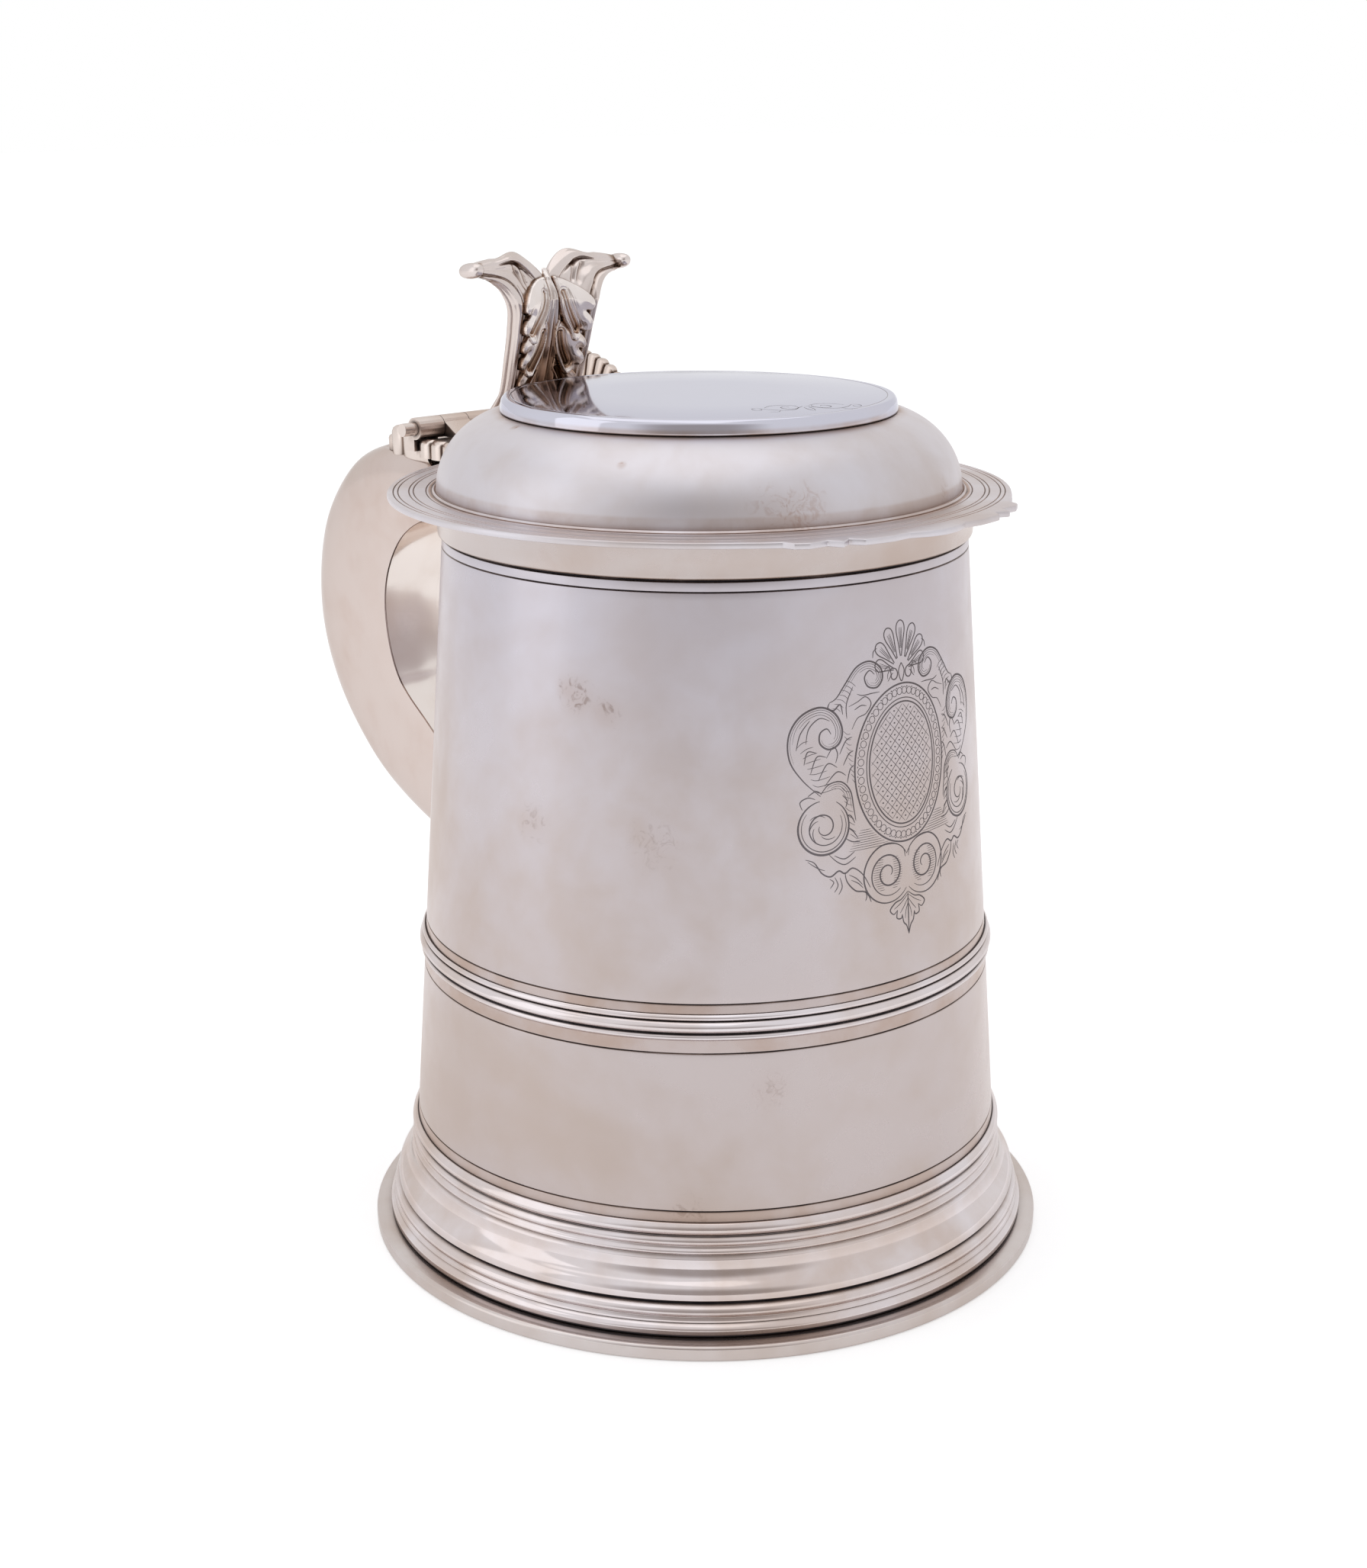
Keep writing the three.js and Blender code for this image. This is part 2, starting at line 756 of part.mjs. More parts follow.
function lidHingePlate() {
  const outerX = hingeX - leafEdgeGap;
  const outline = [
    ...flutedSide(outerX, lidLeafInnerX, lidLeafHalfWidth),
    [lidLeafInnerX, lidLeafHalfWidth - fluteDepth],
    [lidLeafInnerX, fluteDepth - lidLeafHalfWidth],
    ...flutedSide(lidLeafInnerX, outerX, -lidLeafHalfWidth),
    [outerX, fluteDepth - lidLeafHalfWidth],
  ];
  const shoulder = lidLeafTop - lidLeafBevel;
  const inset = (lidLeafHalfWidth - lidLeafBevel) / lidLeafHalfWidth;
  const flat = outline.map(([x, y]) => new THREE.Vector2(x, y));
  const level = (z, share) => outline.map(([x, y]) => new THREE.Vector3(x, y * share, z));
  const plate = loft([level(lidLeafBottom, 1), level(shoulder, 1), level(lidLeafTop, inset)], flat, flat);
  const reach = barrelHalfLength + overrun;
  const cove = hingeCylinder(barrelRadius + barrelClearance, -reach, reach);
  return carved(plate, lidEnvelope(seatGap), cove);
}

// Height of the shell's rim above its seat, by the angle from its middle in degrees
const shellRimAngles = [0, 34, 44, 52, 62, 76, 90];
const shellRimShares = [0, 0.1, 0.25, 0.85, 1, 0.85, 0.3];

function handleLeafEdge(turn, inset) {
  const wave = Math.abs(Math.sin(turn * shellFlutes * half)) ** half;
  const scallop = shellFluteDepth * (1 - wave);
  const startX = hingeX + leafEdgeGap;
  return new THREE.Vector2(
    startX + (handleLeafLength - leafEdgeGap - scallop - inset) * Math.cos(turn),
    (handleLeafHalfWidth - scallop - inset) * Math.sin(turn),
  );
}

function handleHingePlate() {
  const steps = shellFlutes * fluteSteps;
  const turns = Array.from({ length: steps + 1 }, (_, i) => THREE.MathUtils.lerp(-quarterTurn, quarterTurn, i / steps));
  const edge = turns.map((turn) => handleLeafEdge(turn, solderGap));
  const floorShape = new THREE.Shape(edge);
  const floor = new THREE.ExtrudeGeometry(floorShape, { depth: handleLeafFloor, bevelEnabled: false });
  floor.translate(0, 0, handleLeafSeatZ + solderGap);
  const rim = turns.map((turn) => {
    const away = Math.abs(THREE.MathUtils.radToDeg(turn));
    const share = interpolate(shellRimAngles.map((angle, i) => [angle, shellRimShares[i]]), away);
    const top = handleLeafSeatZ + THREE.MathUtils.lerp(shellRimLow, shellRimEar, share);
    const low = handleLeafSeatZ + handleLeafFloor * half;
    const outer = handleLeafEdge(turn, 0);
    const lean = handleLeafEdge(turn, shellWall * half);
    const inner = handleLeafEdge(turn, shellWall);
    return [
      new THREE.Vector3(outer.x, outer.y, low),
      new THREE.Vector3(outer.x, outer.y, top - shellWall * half),
      new THREE.Vector3(lean.x, lean.y, top),
      new THREE.Vector3(inner.x, inner.y, top - shellWall * half),
      new THREE.Vector3(inner.x, inner.y, low),
    ];
  });
  const sideOn = (section) => section.map((point) => new THREE.Vector2(point.y, point.z));
  const ends = [rim[0], rim[rim.length - 1]].map(sideOn);
  const plate = joined(floor, loft(rim, ends[0], ends[1]));
  const floorTop = handleLeafSeatZ + solderGap + handleLeafFloor;
  const knuckleBed = blockBetween(
    [hingeX - overrun, -handleLeafHalfWidth - overrun, floorTop],
    [hingeX + knuckleFootLength * half + barrelClearance * 2, handleLeafHalfWidth + overrun, floorTop + overrun],
  );
  return carved(plate, knuckleBed);
}

function knuckle(fromY, toY, footOutline) {
  const low = fromY + knuckleGap * half;
  const high = toY - knuckleGap * half;
  const barrel = hingeCylinder(barrelRadius, low, high);
  const foot = acrossHinge(footOutline, low, high);
  const bore = hingeCylinder(boreRadius, low - overrun, high + overrun);
  return carved(joined(barrel, foot), bore);
}

// The lid's knuckles have a strap that lies back on the lid's leaf.
function lidKnuckle(fromY, toY) {
  const low = lidLeafTop + solderGap;
  return knuckle(fromY, toY, [
    [hingeX - knuckleFootLength, low],
    [hingeX, low],
    [hingeX, hingeZ + barrelRadius * Math.cos(quarterTurn * half * half)],
    [hingeX - barrelRadius * half, hingeZ + barrelRadius * Math.sin(quarterTurn * half)],
    [hingeX - knuckleFootLength + knuckleFootHeight, low + knuckleFootHeight],
    [hingeX - knuckleFootLength, low + knuckleFootHeight * half],
  ]);
}

// The handle's knuckles stand on the handle's leaf.
function handleKnuckle(fromY, toY) {
  const low = handleLeafSeatZ + handleLeafFloor + solderGap * 2;
  const inner = hingeX + leafEdgeGap + solderGap;
  return knuckle(fromY, toY, [
    [inner, low],
    [inner + knuckleFootLength * half, low],
    [inner + knuckleFootLength * half, low + knuckleFootHeight * half],
    [hingeX + barrelRadius * Math.cos(quarterTurn * half), hingeZ],
    [inner, hingeZ],
  ]);
}

function hingePin() {
  const headFace = -barrelHalfLength - headGap + headRibRise;
  return hingeCylinder(pinRadius, headFace + solderGap, barrelHalfLength + pinStub);
}

// A shell of radial ribs on the pin's far end, with a boss round the pin
function pinShellHead() {
  const steps = headRibs * fluteSteps;
  const nearY = -barrelHalfLength - headGap;
  const farY = nearY - headThickness;
  const root = new THREE.Vector2(hingeX - headLean, hingeZ - headDrop);
  const rootRadius = headDrop * half;
  const sections = Array.from({ length: steps + 1 }, (_, i) => {
    const spread = THREE.MathUtils.lerp(-headHalfAngle, headHalfAngle, i / steps) + headTilt;
    const turn = THREE.MathUtils.degToRad(spread) + quarterTurn;
    const wave = Math.abs(Math.sin((i / steps) * headRibs * halfTurn)) ** half;
    const rise = headRibRise * wave;
    const at = (radius, y) => {
      return new THREE.Vector3(root.x + radius * Math.cos(turn), y, root.y + radius * Math.sin(turn));
    };
    const rim = headRadius - headScallop * (1 - wave);
    return [
      at(rootRadius, nearY),
      at(rim - headThickness, nearY + rise),
      at(rim, (nearY + farY) * half),
      at(rim - headThickness, farY - rise),
      at(rootRadius, farY),
    ];
  });
  const outline = (section) => {
    return section.map((point) => new THREE.Vector2(Math.hypot(point.x - root.x, point.z - root.y), point.y));
  };
  const fan = loft(sections, outline(sections[0]), outline(sections[steps]));
  const boss = hingeCylinder(headBossRadius, farY - headRibRise, nearY + headRibRise);
  return joined(fan, boss);
}

// Thumbpiece

function thumbFront(z) {
  const up = (z - thumbBottom) / thumbHeight;
  return thumbReach * listAt(thumbFrontShares.map((entry) => entry[1]), placeInTable(thumbFrontShares, up));
}

// Where a value lies in a table's first column, from 0 at its first row to 1 at its last
function placeInTable(table, value) {
  const last = table.length - 1;
  return interpolate(table.map((entry, i) => [entry[0], i / last]), value);
}

function thumbHalf(side) {
  const sections = Array.from({ length: thumbSteps + 1 }, (_, i) => {
    const outer = splineThrough(thumbOuterShares, i / thumbSteps);
    const inner = splineThrough(thumbInnerShares, i / thumbSteps);
    const place = (point) => new THREE.Vector2(point.x * thumbHalfWidth, thumbBottom + point.y * thumbHeight);
    const from = place(outer);
    const to = place(inner);
    const across = to.clone().sub(from);
    const border = Math.min(thumbBorder / across.length(), half * half);
    const up = ((from.y + to.y) * half - thumbBottom) / thumbHeight;
    const deep = THREE.MathUtils.lerp(thumbFootThickness, thumbThickness, Math.min(1, up / thumbFootShare));
    const scoopShares = [
      [0, half, 0],
      [border * half, 1, 0],
      [border, 1, 0],
      [border + border * half, 1, 1],
      [half, 1, 1],
      [1, 1, 1],
      [1, 0, 0],
      [half, 0, 0],
      [border, 0, 0],
    ];
    return scoopShares.map(([along, front, scoop]) => {
      const point = from.clone().add(across.clone().multiplyScalar(along));
      const face = thumbFront(point.y);
      const x = face + deep * (1 - front) + thumbBorderRise * scoop;
      return new THREE.Vector3(x, side * Math.max(point.x, -seatGap), point.y);
    });
  });
  const flat = (section, outline) => section.map((point) => outline(point));
  const foot = flat(sections[0], (point) => new THREE.Vector2(point.x, point.y));
  const tip = flat(sections[thumbSteps], (point) => new THREE.Vector2(point.x, point.z));
  return loft(sections, foot, tip);
}

function thumbRoll(side) {
  const share = thumbInnerShares[thumbInnerShares.length - 1];
  const outer = thumbOuterShares[thumbOuterShares.length - 1];
  const z = thumbBottom + thumbHeight * (share[1] + outer[1]) * half;
  const y = side * thumbHalfWidth * (share[0] + outer[0]) * half;
  const straight = thumbRollLength - thumbRollRadius;
  const capsule = new THREE.CapsuleGeometry(thumbRollRadius, straight, rollCapSteps, rollSegments);
  capsule.rotateZ(quarterTurn);
  return capsule.translate(thumbFront(z) + thumbThickness * half, y, z);
}

function thumbpiece() {
  const whole = joined(thumbHalf(1), thumbHalf(-1), thumbRoll(1), thumbRoll(-1));
  return carved(whole, lidEnvelope(thumbSeat));
}

// The leaf's section: the share of its half width and the share of its thickness
const leafSectionShares = [
  [1, 0],
  [1, 0.45],
  [0.6, 1],
  [0.25, 0.7],
  [0, 0.9],
  [-0.25, 0.7],
  [-0.6, 1],
  [-1, 0.45],
  [-1, 0],
];

// The leaf on the front: lobed edges, a raised vein and a face that follows the thumbpiece
function thumbpieceLeaf() {
  const sections = Array.from({ length: leafSteps + 1 }, (_, i) => {
    const along = i / leafSteps;
    const z = thumbBottom + thumbHeight * THREE.MathUtils.lerp(leafLow, leafHigh, along);
    const lobe = (along * leafLobes) % 1;
    const taper = Math.min(1, (1 - along) / leafTipShare + leafTipWidthShare);
    const notch = 1 - leafLobeDepthShare * (1 - Math.sin(halfTurn * Math.min(1, lobe + leafLobeLean)) ** half);
    const width = thumbHalfWidth * leafHalfWidthShare * notch * taper;
    const back = thumbFront(z) + thumbBorderRise + leafBed - leafGap;
    return leafSectionShares.map(([across, lift]) => {
      const vein = across === 0 ? leafVeinRise : 0;
      return new THREE.Vector3(back - leafThickness * lift - vein, width * across, z);
    });
  });
  const flat = (section) => section.map((point) => new THREE.Vector2(point.x, point.y));
  const leaf = loft(sections, flat(sections[0]), flat(sections[leafSteps]));
  return carved(leaf, lidEnvelope(leafSeat), thumbpiece());
}

// Assembly

const tankard = new THREE.Group();

function addPiece(name, geometry, finish) {
  const mesh = new THREE.Mesh(geometry, new THREE.MeshStandardMaterial(finish));
  mesh.name = name;
  tankard.add(mesh);
}

addPiece("body_drum", bodyDrum(), silver);
addPiece("bottom_plate", bottomPlate(), silver);
addPiece("lip_moulding", lipMoulding(), silver);
addPiece("mid_band", midBand(), silver);
addPiece("foot_moulding", footMoulding(), silver);
addPiece("foot_rim", footRim(), silver);
addPiece("handle_back", handleBack(), silver);
addPiece("handle_inner", handleInner(), silver);
addPiece("handle_hinge_plate", handleHingePlate(), castSilver);
addPiece("handle_knuckle_near", handleKnuckle(lidKnuckleOuter, barrelHalfLength), castSilver);
addPiece("handle_knuckle_mid", handleKnuckle(-middleKnuckleHalf, middleKnuckleHalf), castSilver);
addPiece("handle_knuckle_far", handleKnuckle(-barrelHalfLength, -lidKnuckleOuter), castSilver);
addPiece("hinge_pin", hingePin(), castSilver);
addPiece("pin_shell_head", pinShellHead(), castSilver);
addPiece("lid_cover", lidCover(), silver);
addPiece("lid_top_plate", lidTopPlate(), polishedSilver);
addPiece("lid_bezel", lidBezel(), silver);
addPiece("lid_hinge_plate", lidHingePlate(), castSilver);
addPiece("lid_knuckle_near", lidKnuckle(middleKnuckleHalf, lidKnuckleOuter), castSilver);
addPiece("lid_knuckle_far", lidKnuckle(-lidKnuckleOuter, -middleKnuckleHalf), castSilver);
addPiece("thumbpiece", thumbpiece(), castSilver);
addPiece("thumbpiece_leaf", thumbpieceLeaf(), castSilver);

export default tankard;
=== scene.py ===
"""Looks of a lidded silver tankard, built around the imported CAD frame.

Lengths here are millimetres unless said otherwise.
"""

import math

import bpy
import bmesh
import numpy as np
from mathutils import Matrix, Vector
from mathutils.bvhtree import BVHTree


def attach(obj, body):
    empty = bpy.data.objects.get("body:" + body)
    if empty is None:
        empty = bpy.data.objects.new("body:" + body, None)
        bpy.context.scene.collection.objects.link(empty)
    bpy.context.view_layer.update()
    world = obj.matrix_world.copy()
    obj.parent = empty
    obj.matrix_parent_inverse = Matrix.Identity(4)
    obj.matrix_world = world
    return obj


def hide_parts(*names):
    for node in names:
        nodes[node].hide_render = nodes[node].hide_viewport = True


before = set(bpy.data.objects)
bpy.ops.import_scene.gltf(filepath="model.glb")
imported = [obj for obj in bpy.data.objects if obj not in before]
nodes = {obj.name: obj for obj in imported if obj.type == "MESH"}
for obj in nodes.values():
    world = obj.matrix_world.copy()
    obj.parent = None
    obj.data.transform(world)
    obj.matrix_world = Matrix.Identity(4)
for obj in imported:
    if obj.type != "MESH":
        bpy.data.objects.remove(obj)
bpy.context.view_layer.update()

MM = 0.001
TAU = 2 * math.pi

# Sizes shared with the CAD part
TABLE_R, LIP_R, LIP_Z, WALL = 57.75, 47.9, 141.8, 1.2
BAND_LOW, BAND_HIGH = 55.8, 60.5
FOOT_TOP, RIM_R, RIM_H = 22.5, 65.0, 3.05
SHIFT, FLANGE_R = 1.6, 57.1
FLANGE_LOW = LIP_Z + 0.3
FLANGE_TOP = FLANGE_LOW + 1.1
DOME_R, NECK_R, DOME_RISE, DOME_STEP_H, DOME_STEP_W, DOME_WALL = 48.2, 33.0, 14.1, 0.3, 0.7, 1.1
DOME_BASE = FLANGE_TOP + DOME_STEP_H
DOME_TOP = DOME_BASE + DOME_RISE
DISC_R, DISC_T = 36.3, 2.4
HINGE_X, HINGE_Z = 64.6, 148.9
BEZEL_OUT = LIP_R - WALL - 0.5
BEZEL_IN = BEZEL_OUT - 0.9
SOLDER = 0.05
FLOOR_LOW, FLOOR_TOP = 1.2, 2.6
LEAF_LOW = FLANGE_TOP + SOLDER
LEAF_TOP = LEAF_LOW + 3.7
THUMB_LOW = LEAF_TOP + SOLDER
HINGE_SEAT = LIP_Z + 0.8
BARREL_R, HINGE_HALF = 2.2, 18.0


def drum_r(z):
    return TABLE_R + (LIP_R - TABLE_R) * z / LIP_Z


# ---------------------------------------------------------------- mesh tools

pieces = []
LATHE_SHARP = 30


def link_object(name, data):
    obj = bpy.data.objects.new(name, data)
    bpy.context.scene.collection.objects.link(obj)
    return obj


def finish_mesh(name, points, faces, body, material, stands_for, sharp, groove_and_shade=None):
    """Makes a piece that stands for a CAD node; edges that turn more than so many degrees stay sharp."""
    mesh = bpy.data.meshes.new(name)
    mesh.from_pydata((np.asarray(points, float) * MM).tolist(), [], faces)
    mesh.validate()
    # Per-vertex darkness: engraved grooves and cuts, and painted shade in flutes, creases, corners and under
    # edges.
    if groove_and_shade is not None:
        attribute = mesh.attributes.new("groove_and_shade", "FLOAT", "POINT")
        attribute.data.foreach_set("value", np.asarray(groove_and_shade, np.float32))
    bm = bmesh.new()
    bm.from_mesh(mesh)
    bmesh.ops.remove_doubles(bm, verts=bm.verts, dist=2e-7)
    bmesh.ops.recalc_face_normals(bm, faces=bm.faces)
    bm.to_mesh(mesh)
    bm.free()
    mesh.shade_smooth()
    mesh.set_sharp_from_angle(angle=math.radians(sharp))
    mesh.materials.append(material)
    obj = link_object(name, mesh)
    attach(obj, body)
    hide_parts(stands_for)
    pieces.append(obj)
    return obj


def grid_faces(nu, nv, close_u=False, close_v=False):
    faces = []
    for i in range(nu if close_u else nu - 1):
        a, b = i * nv, ((i + 1) % nu) * nv
        for j in range(nv if close_v else nv - 1):
            k = (j + 1) % nv
            faces.append((a + j, a + k, b + k, b + j))
    return faces


def soften(points, radius, closed=True, steps=3, least=14):
    """Rounds the corners of an outline of (r, z, dark) rows."""
    pts = [np.asarray(p, float) for p in points]
    n = len(pts)
    out = []
    for i, p in enumerate(pts):
        if not closed and i in (0, n - 1):
            out.append(p)
            continue
        before, after = pts[i - 1] - p, pts[(i + 1) % n] - p
        a, b = np.hypot(*before[:2]), np.hypot(*after[:2])
        if a < 1e-9 or b < 1e-9:
            continue
        turn = math.degrees(math.acos(np.clip(-(before[:2] @ after[:2]) / (a * b), -1, 1)))
        if turn < least:
            out.append(p)
            continue
        reach = min(radius, 0.45 * a, 0.45 * b)
        s, e = p + before / a * reach, p + after / b * reach
        for t in np.linspace(0, 1, steps + 1):
            out.append((1 - t) ** 2 * s + 2 * t * (1 - t) * p + t * t * e)
    return np.array(out)


def rows(points):
    """Adds a darkness of 0 to (r, z) rows that have none."""
    return [tuple(p) if len(p) == 3 else (p[0], p[1], 0.0) for p in points]


def lathe(name, profile, body, material, stands_for, segments, closed=True, shift=0.0, round_to=0.15):
    """Turns an outline of (r, z) or (r, z, darkness) rows round an upright axis."""
    prof = soften(rows(profile), round_to, closed)
    angle = np.linspace(0, TAU, segments, endpoint=False)
    r, z, dark = prof.T
    pts = np.stack(
        [np.outer(np.cos(angle), r) + shift, np.outer(np.sin(angle), r), np.outer(np.ones(segments), z)], -1
    ).reshape(-1, 3)
    faces = grid_faces(segments, len(prof), True, closed)
    return finish_mesh(name, pts, faces, body, material, stands_for, LATHE_SHARP, np.tile(dark, segments))


def loft(name, sections, body, material, stands_for, sharp, groove_and_shade=None):
    """Joins closed outlines one to the next, and caps both ends."""
    nu, nv = sections.shape[:2]
    faces = grid_faces(nu, nv, False, True)
    faces += [tuple(range(nv)), tuple(range((nu - 1) * nv, nu * nv))]
    return finish_mesh(name, sections.reshape(-1, 3), faces, body, material, stands_for, sharp, groove_and_shade)


def spline(table, t):
    """Uniform Catmull-Rom through the rows of a table, at t from 0 to 1."""
    p = np.asarray(table, float)
    if p.ndim == 1:
        p = p[:, None]
    t = np.atleast_1d(t)
    n = len(p)
    at = np.clip(t, 0, 1) * (n - 1)
    i = np.minimum(at.astype(int), n - 1)
    w = (at - i)[:, None]
    p0, p1 = p[np.maximum(i - 1, 0)], p[i]
    p2, p3 = p[np.minimum(i + 1, n - 1)], p[np.minimum(i + 2, n - 1)]
    v0, v1 = (p2 - p0) / 2, (p3 - p1) / 2
    return (2 * p1 - 2 * p2 + v0 + v1) * w**3 + (-3 * p1 + 3 * p2 - 2 * v0 - v1) * w**2 + v0 * w + p1


def line(z, width=0.34, depth=0.16):
    """Rows of a fine engraved line round the drum."""
    return [
        (drum_r(z - width / 2), z - width / 2, 0),
        (drum_r(z - width / 6) - depth, z - width / 6, 1),
        (drum_r(z + width / 6) - depth, z + width / 6, 1),
        (drum_r(z + width / 2), z + width / 2, 0),
    ]


def plain(low, high, step=2.5):
    """Rows of the smooth wall, close enough together for the shading of hollows."""
    return [(drum_r(z), z, 0) for z in np.linspace(low, high, round((high - low) / step) + 1)]


def half_round(r, low, high, bulge, steps=10):
    return [(r + bulge * math.sin(math.pi * i / steps), low + (high - low) * i / steps,
        0) for i in range(steps + 1)]


# ---------------------------------------------------------------- materials


class Nodes:
    """Builds the nodes of a material or of the world."""

    def __init__(self, owner):
        owner.use_nodes = True
        self.tree = owner.node_tree
        self.tree.nodes.clear()

    def add(self, kind, **values):
        node = self.tree.nodes.new("ShaderNode" + kind)
        for key, value in values.items():
            if key in node.inputs:
                node.inputs[key].default_value = value
            else:
                setattr(node, key, value)
        return node

    def link(self, a, b):
        self.tree.links.new(a, b)

    def feed(self, socket, value):
        if isinstance(value, (int, float)):
            socket.default_value = value
        elif isinstance(value, tuple):
            socket.default_value = (*value, 1)
        else:
            self.link(value, socket)

    def math(self, operation, *values, clamp=False):
        node = self.add("Math", operation=operation, use_clamp=clamp)
        for socket, value in zip(node.inputs, values):
            self.feed(socket, value)
        return node.outputs[0]

    def plus(self, a, b, clamp=False):
        return self.math("ADD", a, b, clamp=clamp)

    def minus(self, a, b):
        return self.math("SUBTRACT", a, b)

    def times(self, a, b):
        return self.math("MULTIPLY", a, b)

    def height(self, place):
        split = self.add("SeparateXYZ")
        self.link(place, split.inputs[0])
        return split.outputs[2]

    def noise(self, vector, scale, detail, rough, distort=0.0):
        node = self.add("TexNoise", Scale=scale, Detail=detail, Roughness=rough, Distortion=distort)
        self.link(vector, node.inputs["Vector"])
        return node.outputs["Fac"]

    def ramp(self, value, low, high, to_low=0.0, to_high=1.0):
        ends = {"From Min": low, "From Max": high, "To Min": to_low, "To Max": to_high}
        node = self.add("MapRange", interpolation_type="SMOOTHSTEP", **ends)
        self.link(value, node.inputs["Value"])
        return node.outputs["Result"]

    def mix(self, factor, a, b):
        node = self.add("Mix", data_type="RGBA")
        for k, value in ((0, factor), (6, a), (7, b)):
            self.feed(node.inputs[k], value)
        return node.outputs[2]

    def stretch(self, vector, scale):
        node = self.add("Mapping", Scale=scale)
        self.link(vector, node.inputs["Vector"])
        return node.outputs[0]


def srgb(r, g, b):
    return tuple(c / 255 / 12.92 if c <= 10 else ((c / 255 + 0.055) / 1.055) ** 2.4 for c in (r, g, b))


def silver(
    name, clean, warm, rough, edge=0.8, patches=0.5, hollows=0.1, brushed=0.0, ripple=0.4, dark=(42, 38, 40),
    brown=(104, 78, 60), stains=(), low=False, bands=(), tint=(1, 0.97, 0.95), metal=1.0,
):
    """Silver with a thin warm tarnish in cloudy patches, brown tarnish with painted shade in hollows and a dark
    painted shade in the deepest, dark engraved grooves with painted shade in flutes, creases and under edges,
    and polishing marks.

    bands are (height, half width, strength), stains are (place, width, strength), and low makes the colour
    warmer towards the table, as tarnish and a painted warm reflection of the floor, and a little darker and
    bluer near the top, a painted reflection.
    """
    material = bpy.data.materials.new(name)
    n = Nodes(material)
    place = n.add("TexCoord").outputs["Object"]
    out = n.add("OutputMaterial")
    shader = n.add("BsdfPrincipled")
    shader.inputs["Metallic"].default_value = metal
    shader.inputs["Specular Tint"].default_value = (*(edge * c for c in tint), 1)
    cloud = n.noise(place, 17.0, 4.0, 0.58, 0.6)
    small = n.noise(place, 95.0, 4.0, 0.58, 0.3)
    spots = n.noise(place, 210.0, 3.0, 0.5, 1.2)
    fine = n.noise(place, 420.0, 3.0, 0.6, 2.2)
    patch = n.ramp(n.plus(n.times(cloud, 0.75), n.times(small, 0.25)), 0.38, 0.66, 0.0, patches)
    colour = n.mix(patch, srgb(*clean), srgb(*warm))
    if low:
        height = n.plus(n.height(place), n.times(n.minus(cloud, 0.5), 0.05))
        # Warmer towards the table: tarnish with a painted warm reflection of the floor.
        colour = n.mix(n.ramp(height, 0.12, 0.03, 0.0, 0.55), colour, srgb(*warm))
        # A little darker and bluer near the top: a painted reflection.
        colour = n.mix(n.ramp(height, 0.09, 0.135, 0.0, 0.5), colour,
            srgb(clean[0] - 8, clean[1] - 5, clean[2]))
    for centre, half, strong in bands:
        away = n.math("ABSOLUTE", n.minus(n.height(place), centre * MM))
        near = n.ramp(away, (half + 0.2) * MM, (half - 0.5) * MM)
        cloudy = n.ramp(n.plus(n.times(cloud, 0.5), n.times(small, 0.5)), 0.36, 0.6, 0.25, 1.0)
        colour = n.mix(n.times(n.times(near, cloudy), strong), colour, srgb(168, 142, 126))
    for where, wide, strong in stains:
        away = n.add("VectorMath", operation="DISTANCE")
        n.link(place, away.inputs[0])
        away.inputs[1].default_value = Vector(where) * MM
        near = n.ramp(away.outputs["Value"], wide * 1.3 * MM, wide * 0.2 * MM)
        spotty = n.ramp(n.plus(fine, n.times(near, 0.12)), 0.58, 0.78, 0.0, strong * 0.6)
        colour = n.mix(n.times(near, 0.2 * strong), colour, srgb(160, 130, 112))
        colour = n.mix(n.times(near, spotty), colour, srgb(*brown))
    # The hollow value paints shade: brown tarnish with painted shade in hollows, and a dark painted shade in the
    # deepest.
    hollow = n.add("Attribute", attribute_name="hollow").outputs["Fac"]
    groove_and_shade = n.add("Attribute", attribute_name="groove_and_shade").outputs["Fac"]
    hollow_tarnish_and_shade = n.ramp(n.plus(hollow, n.times(n.minus(small, 0.5), 0.25)), 0.22, 0.85, 0.0, hollows)
    colour = n.mix(n.times(hollow_tarnish_and_shade, 0.75), colour, srgb(*brown))
    deep = n.ramp(n.plus(hollow, n.times(n.minus(spots, 0.5), 0.2)), 0.6, 1.0, 0.0, hollows)
    # The per-vertex darkness darkens engraved grooves and paints shade in flutes, creases, corners and under
    # edges.
    uneven = n.times(groove_and_shade, n.plus(n.times(small, 1.5), 0.2))
    colour = n.mix(n.ramp(uneven, 0.04, 0.45, 0.0, 0.8), colour, srgb(*brown))
    cut = n.ramp(uneven, 0.42, 0.95)
    colour = n.mix(n.math("MAXIMUM", deep, cut), colour, srgb(*dark))
    n.link(colour, shader.inputs["Base Color"])
    worn = n.plus(n.times(n.minus(small, 0.5), rough * 0.2), rough)
    worn = n.plus(worn, n.times(patch, 0.1))
    worn = n.plus(worn, n.times(hollow_tarnish_and_shade, 0.22), clamp=True)
    n.link(worn, shader.inputs["Roughness"])
    lines = n.noise(n.stretch(place, (14.0, 14.0, 1500.0)), 1.0, 1.0, 0.5)
    wide = n.noise(place, 36.0, 2.0, 0.5)
    height = n.plus(n.times(wide, ripple * 4.0), n.times(lines, brushed * 0.02))
    bump = n.add("Bump")
    bump.inputs["Strength"].default_value = 1.0
    bump.inputs["Distance"].default_value = 0.0001
    n.link(height, bump.inputs["Height"])
    n.link(bump.outputs[0], shader.inputs["Normal"])
    n.link(shader.outputs[0], out.inputs["Surface"])
    return material


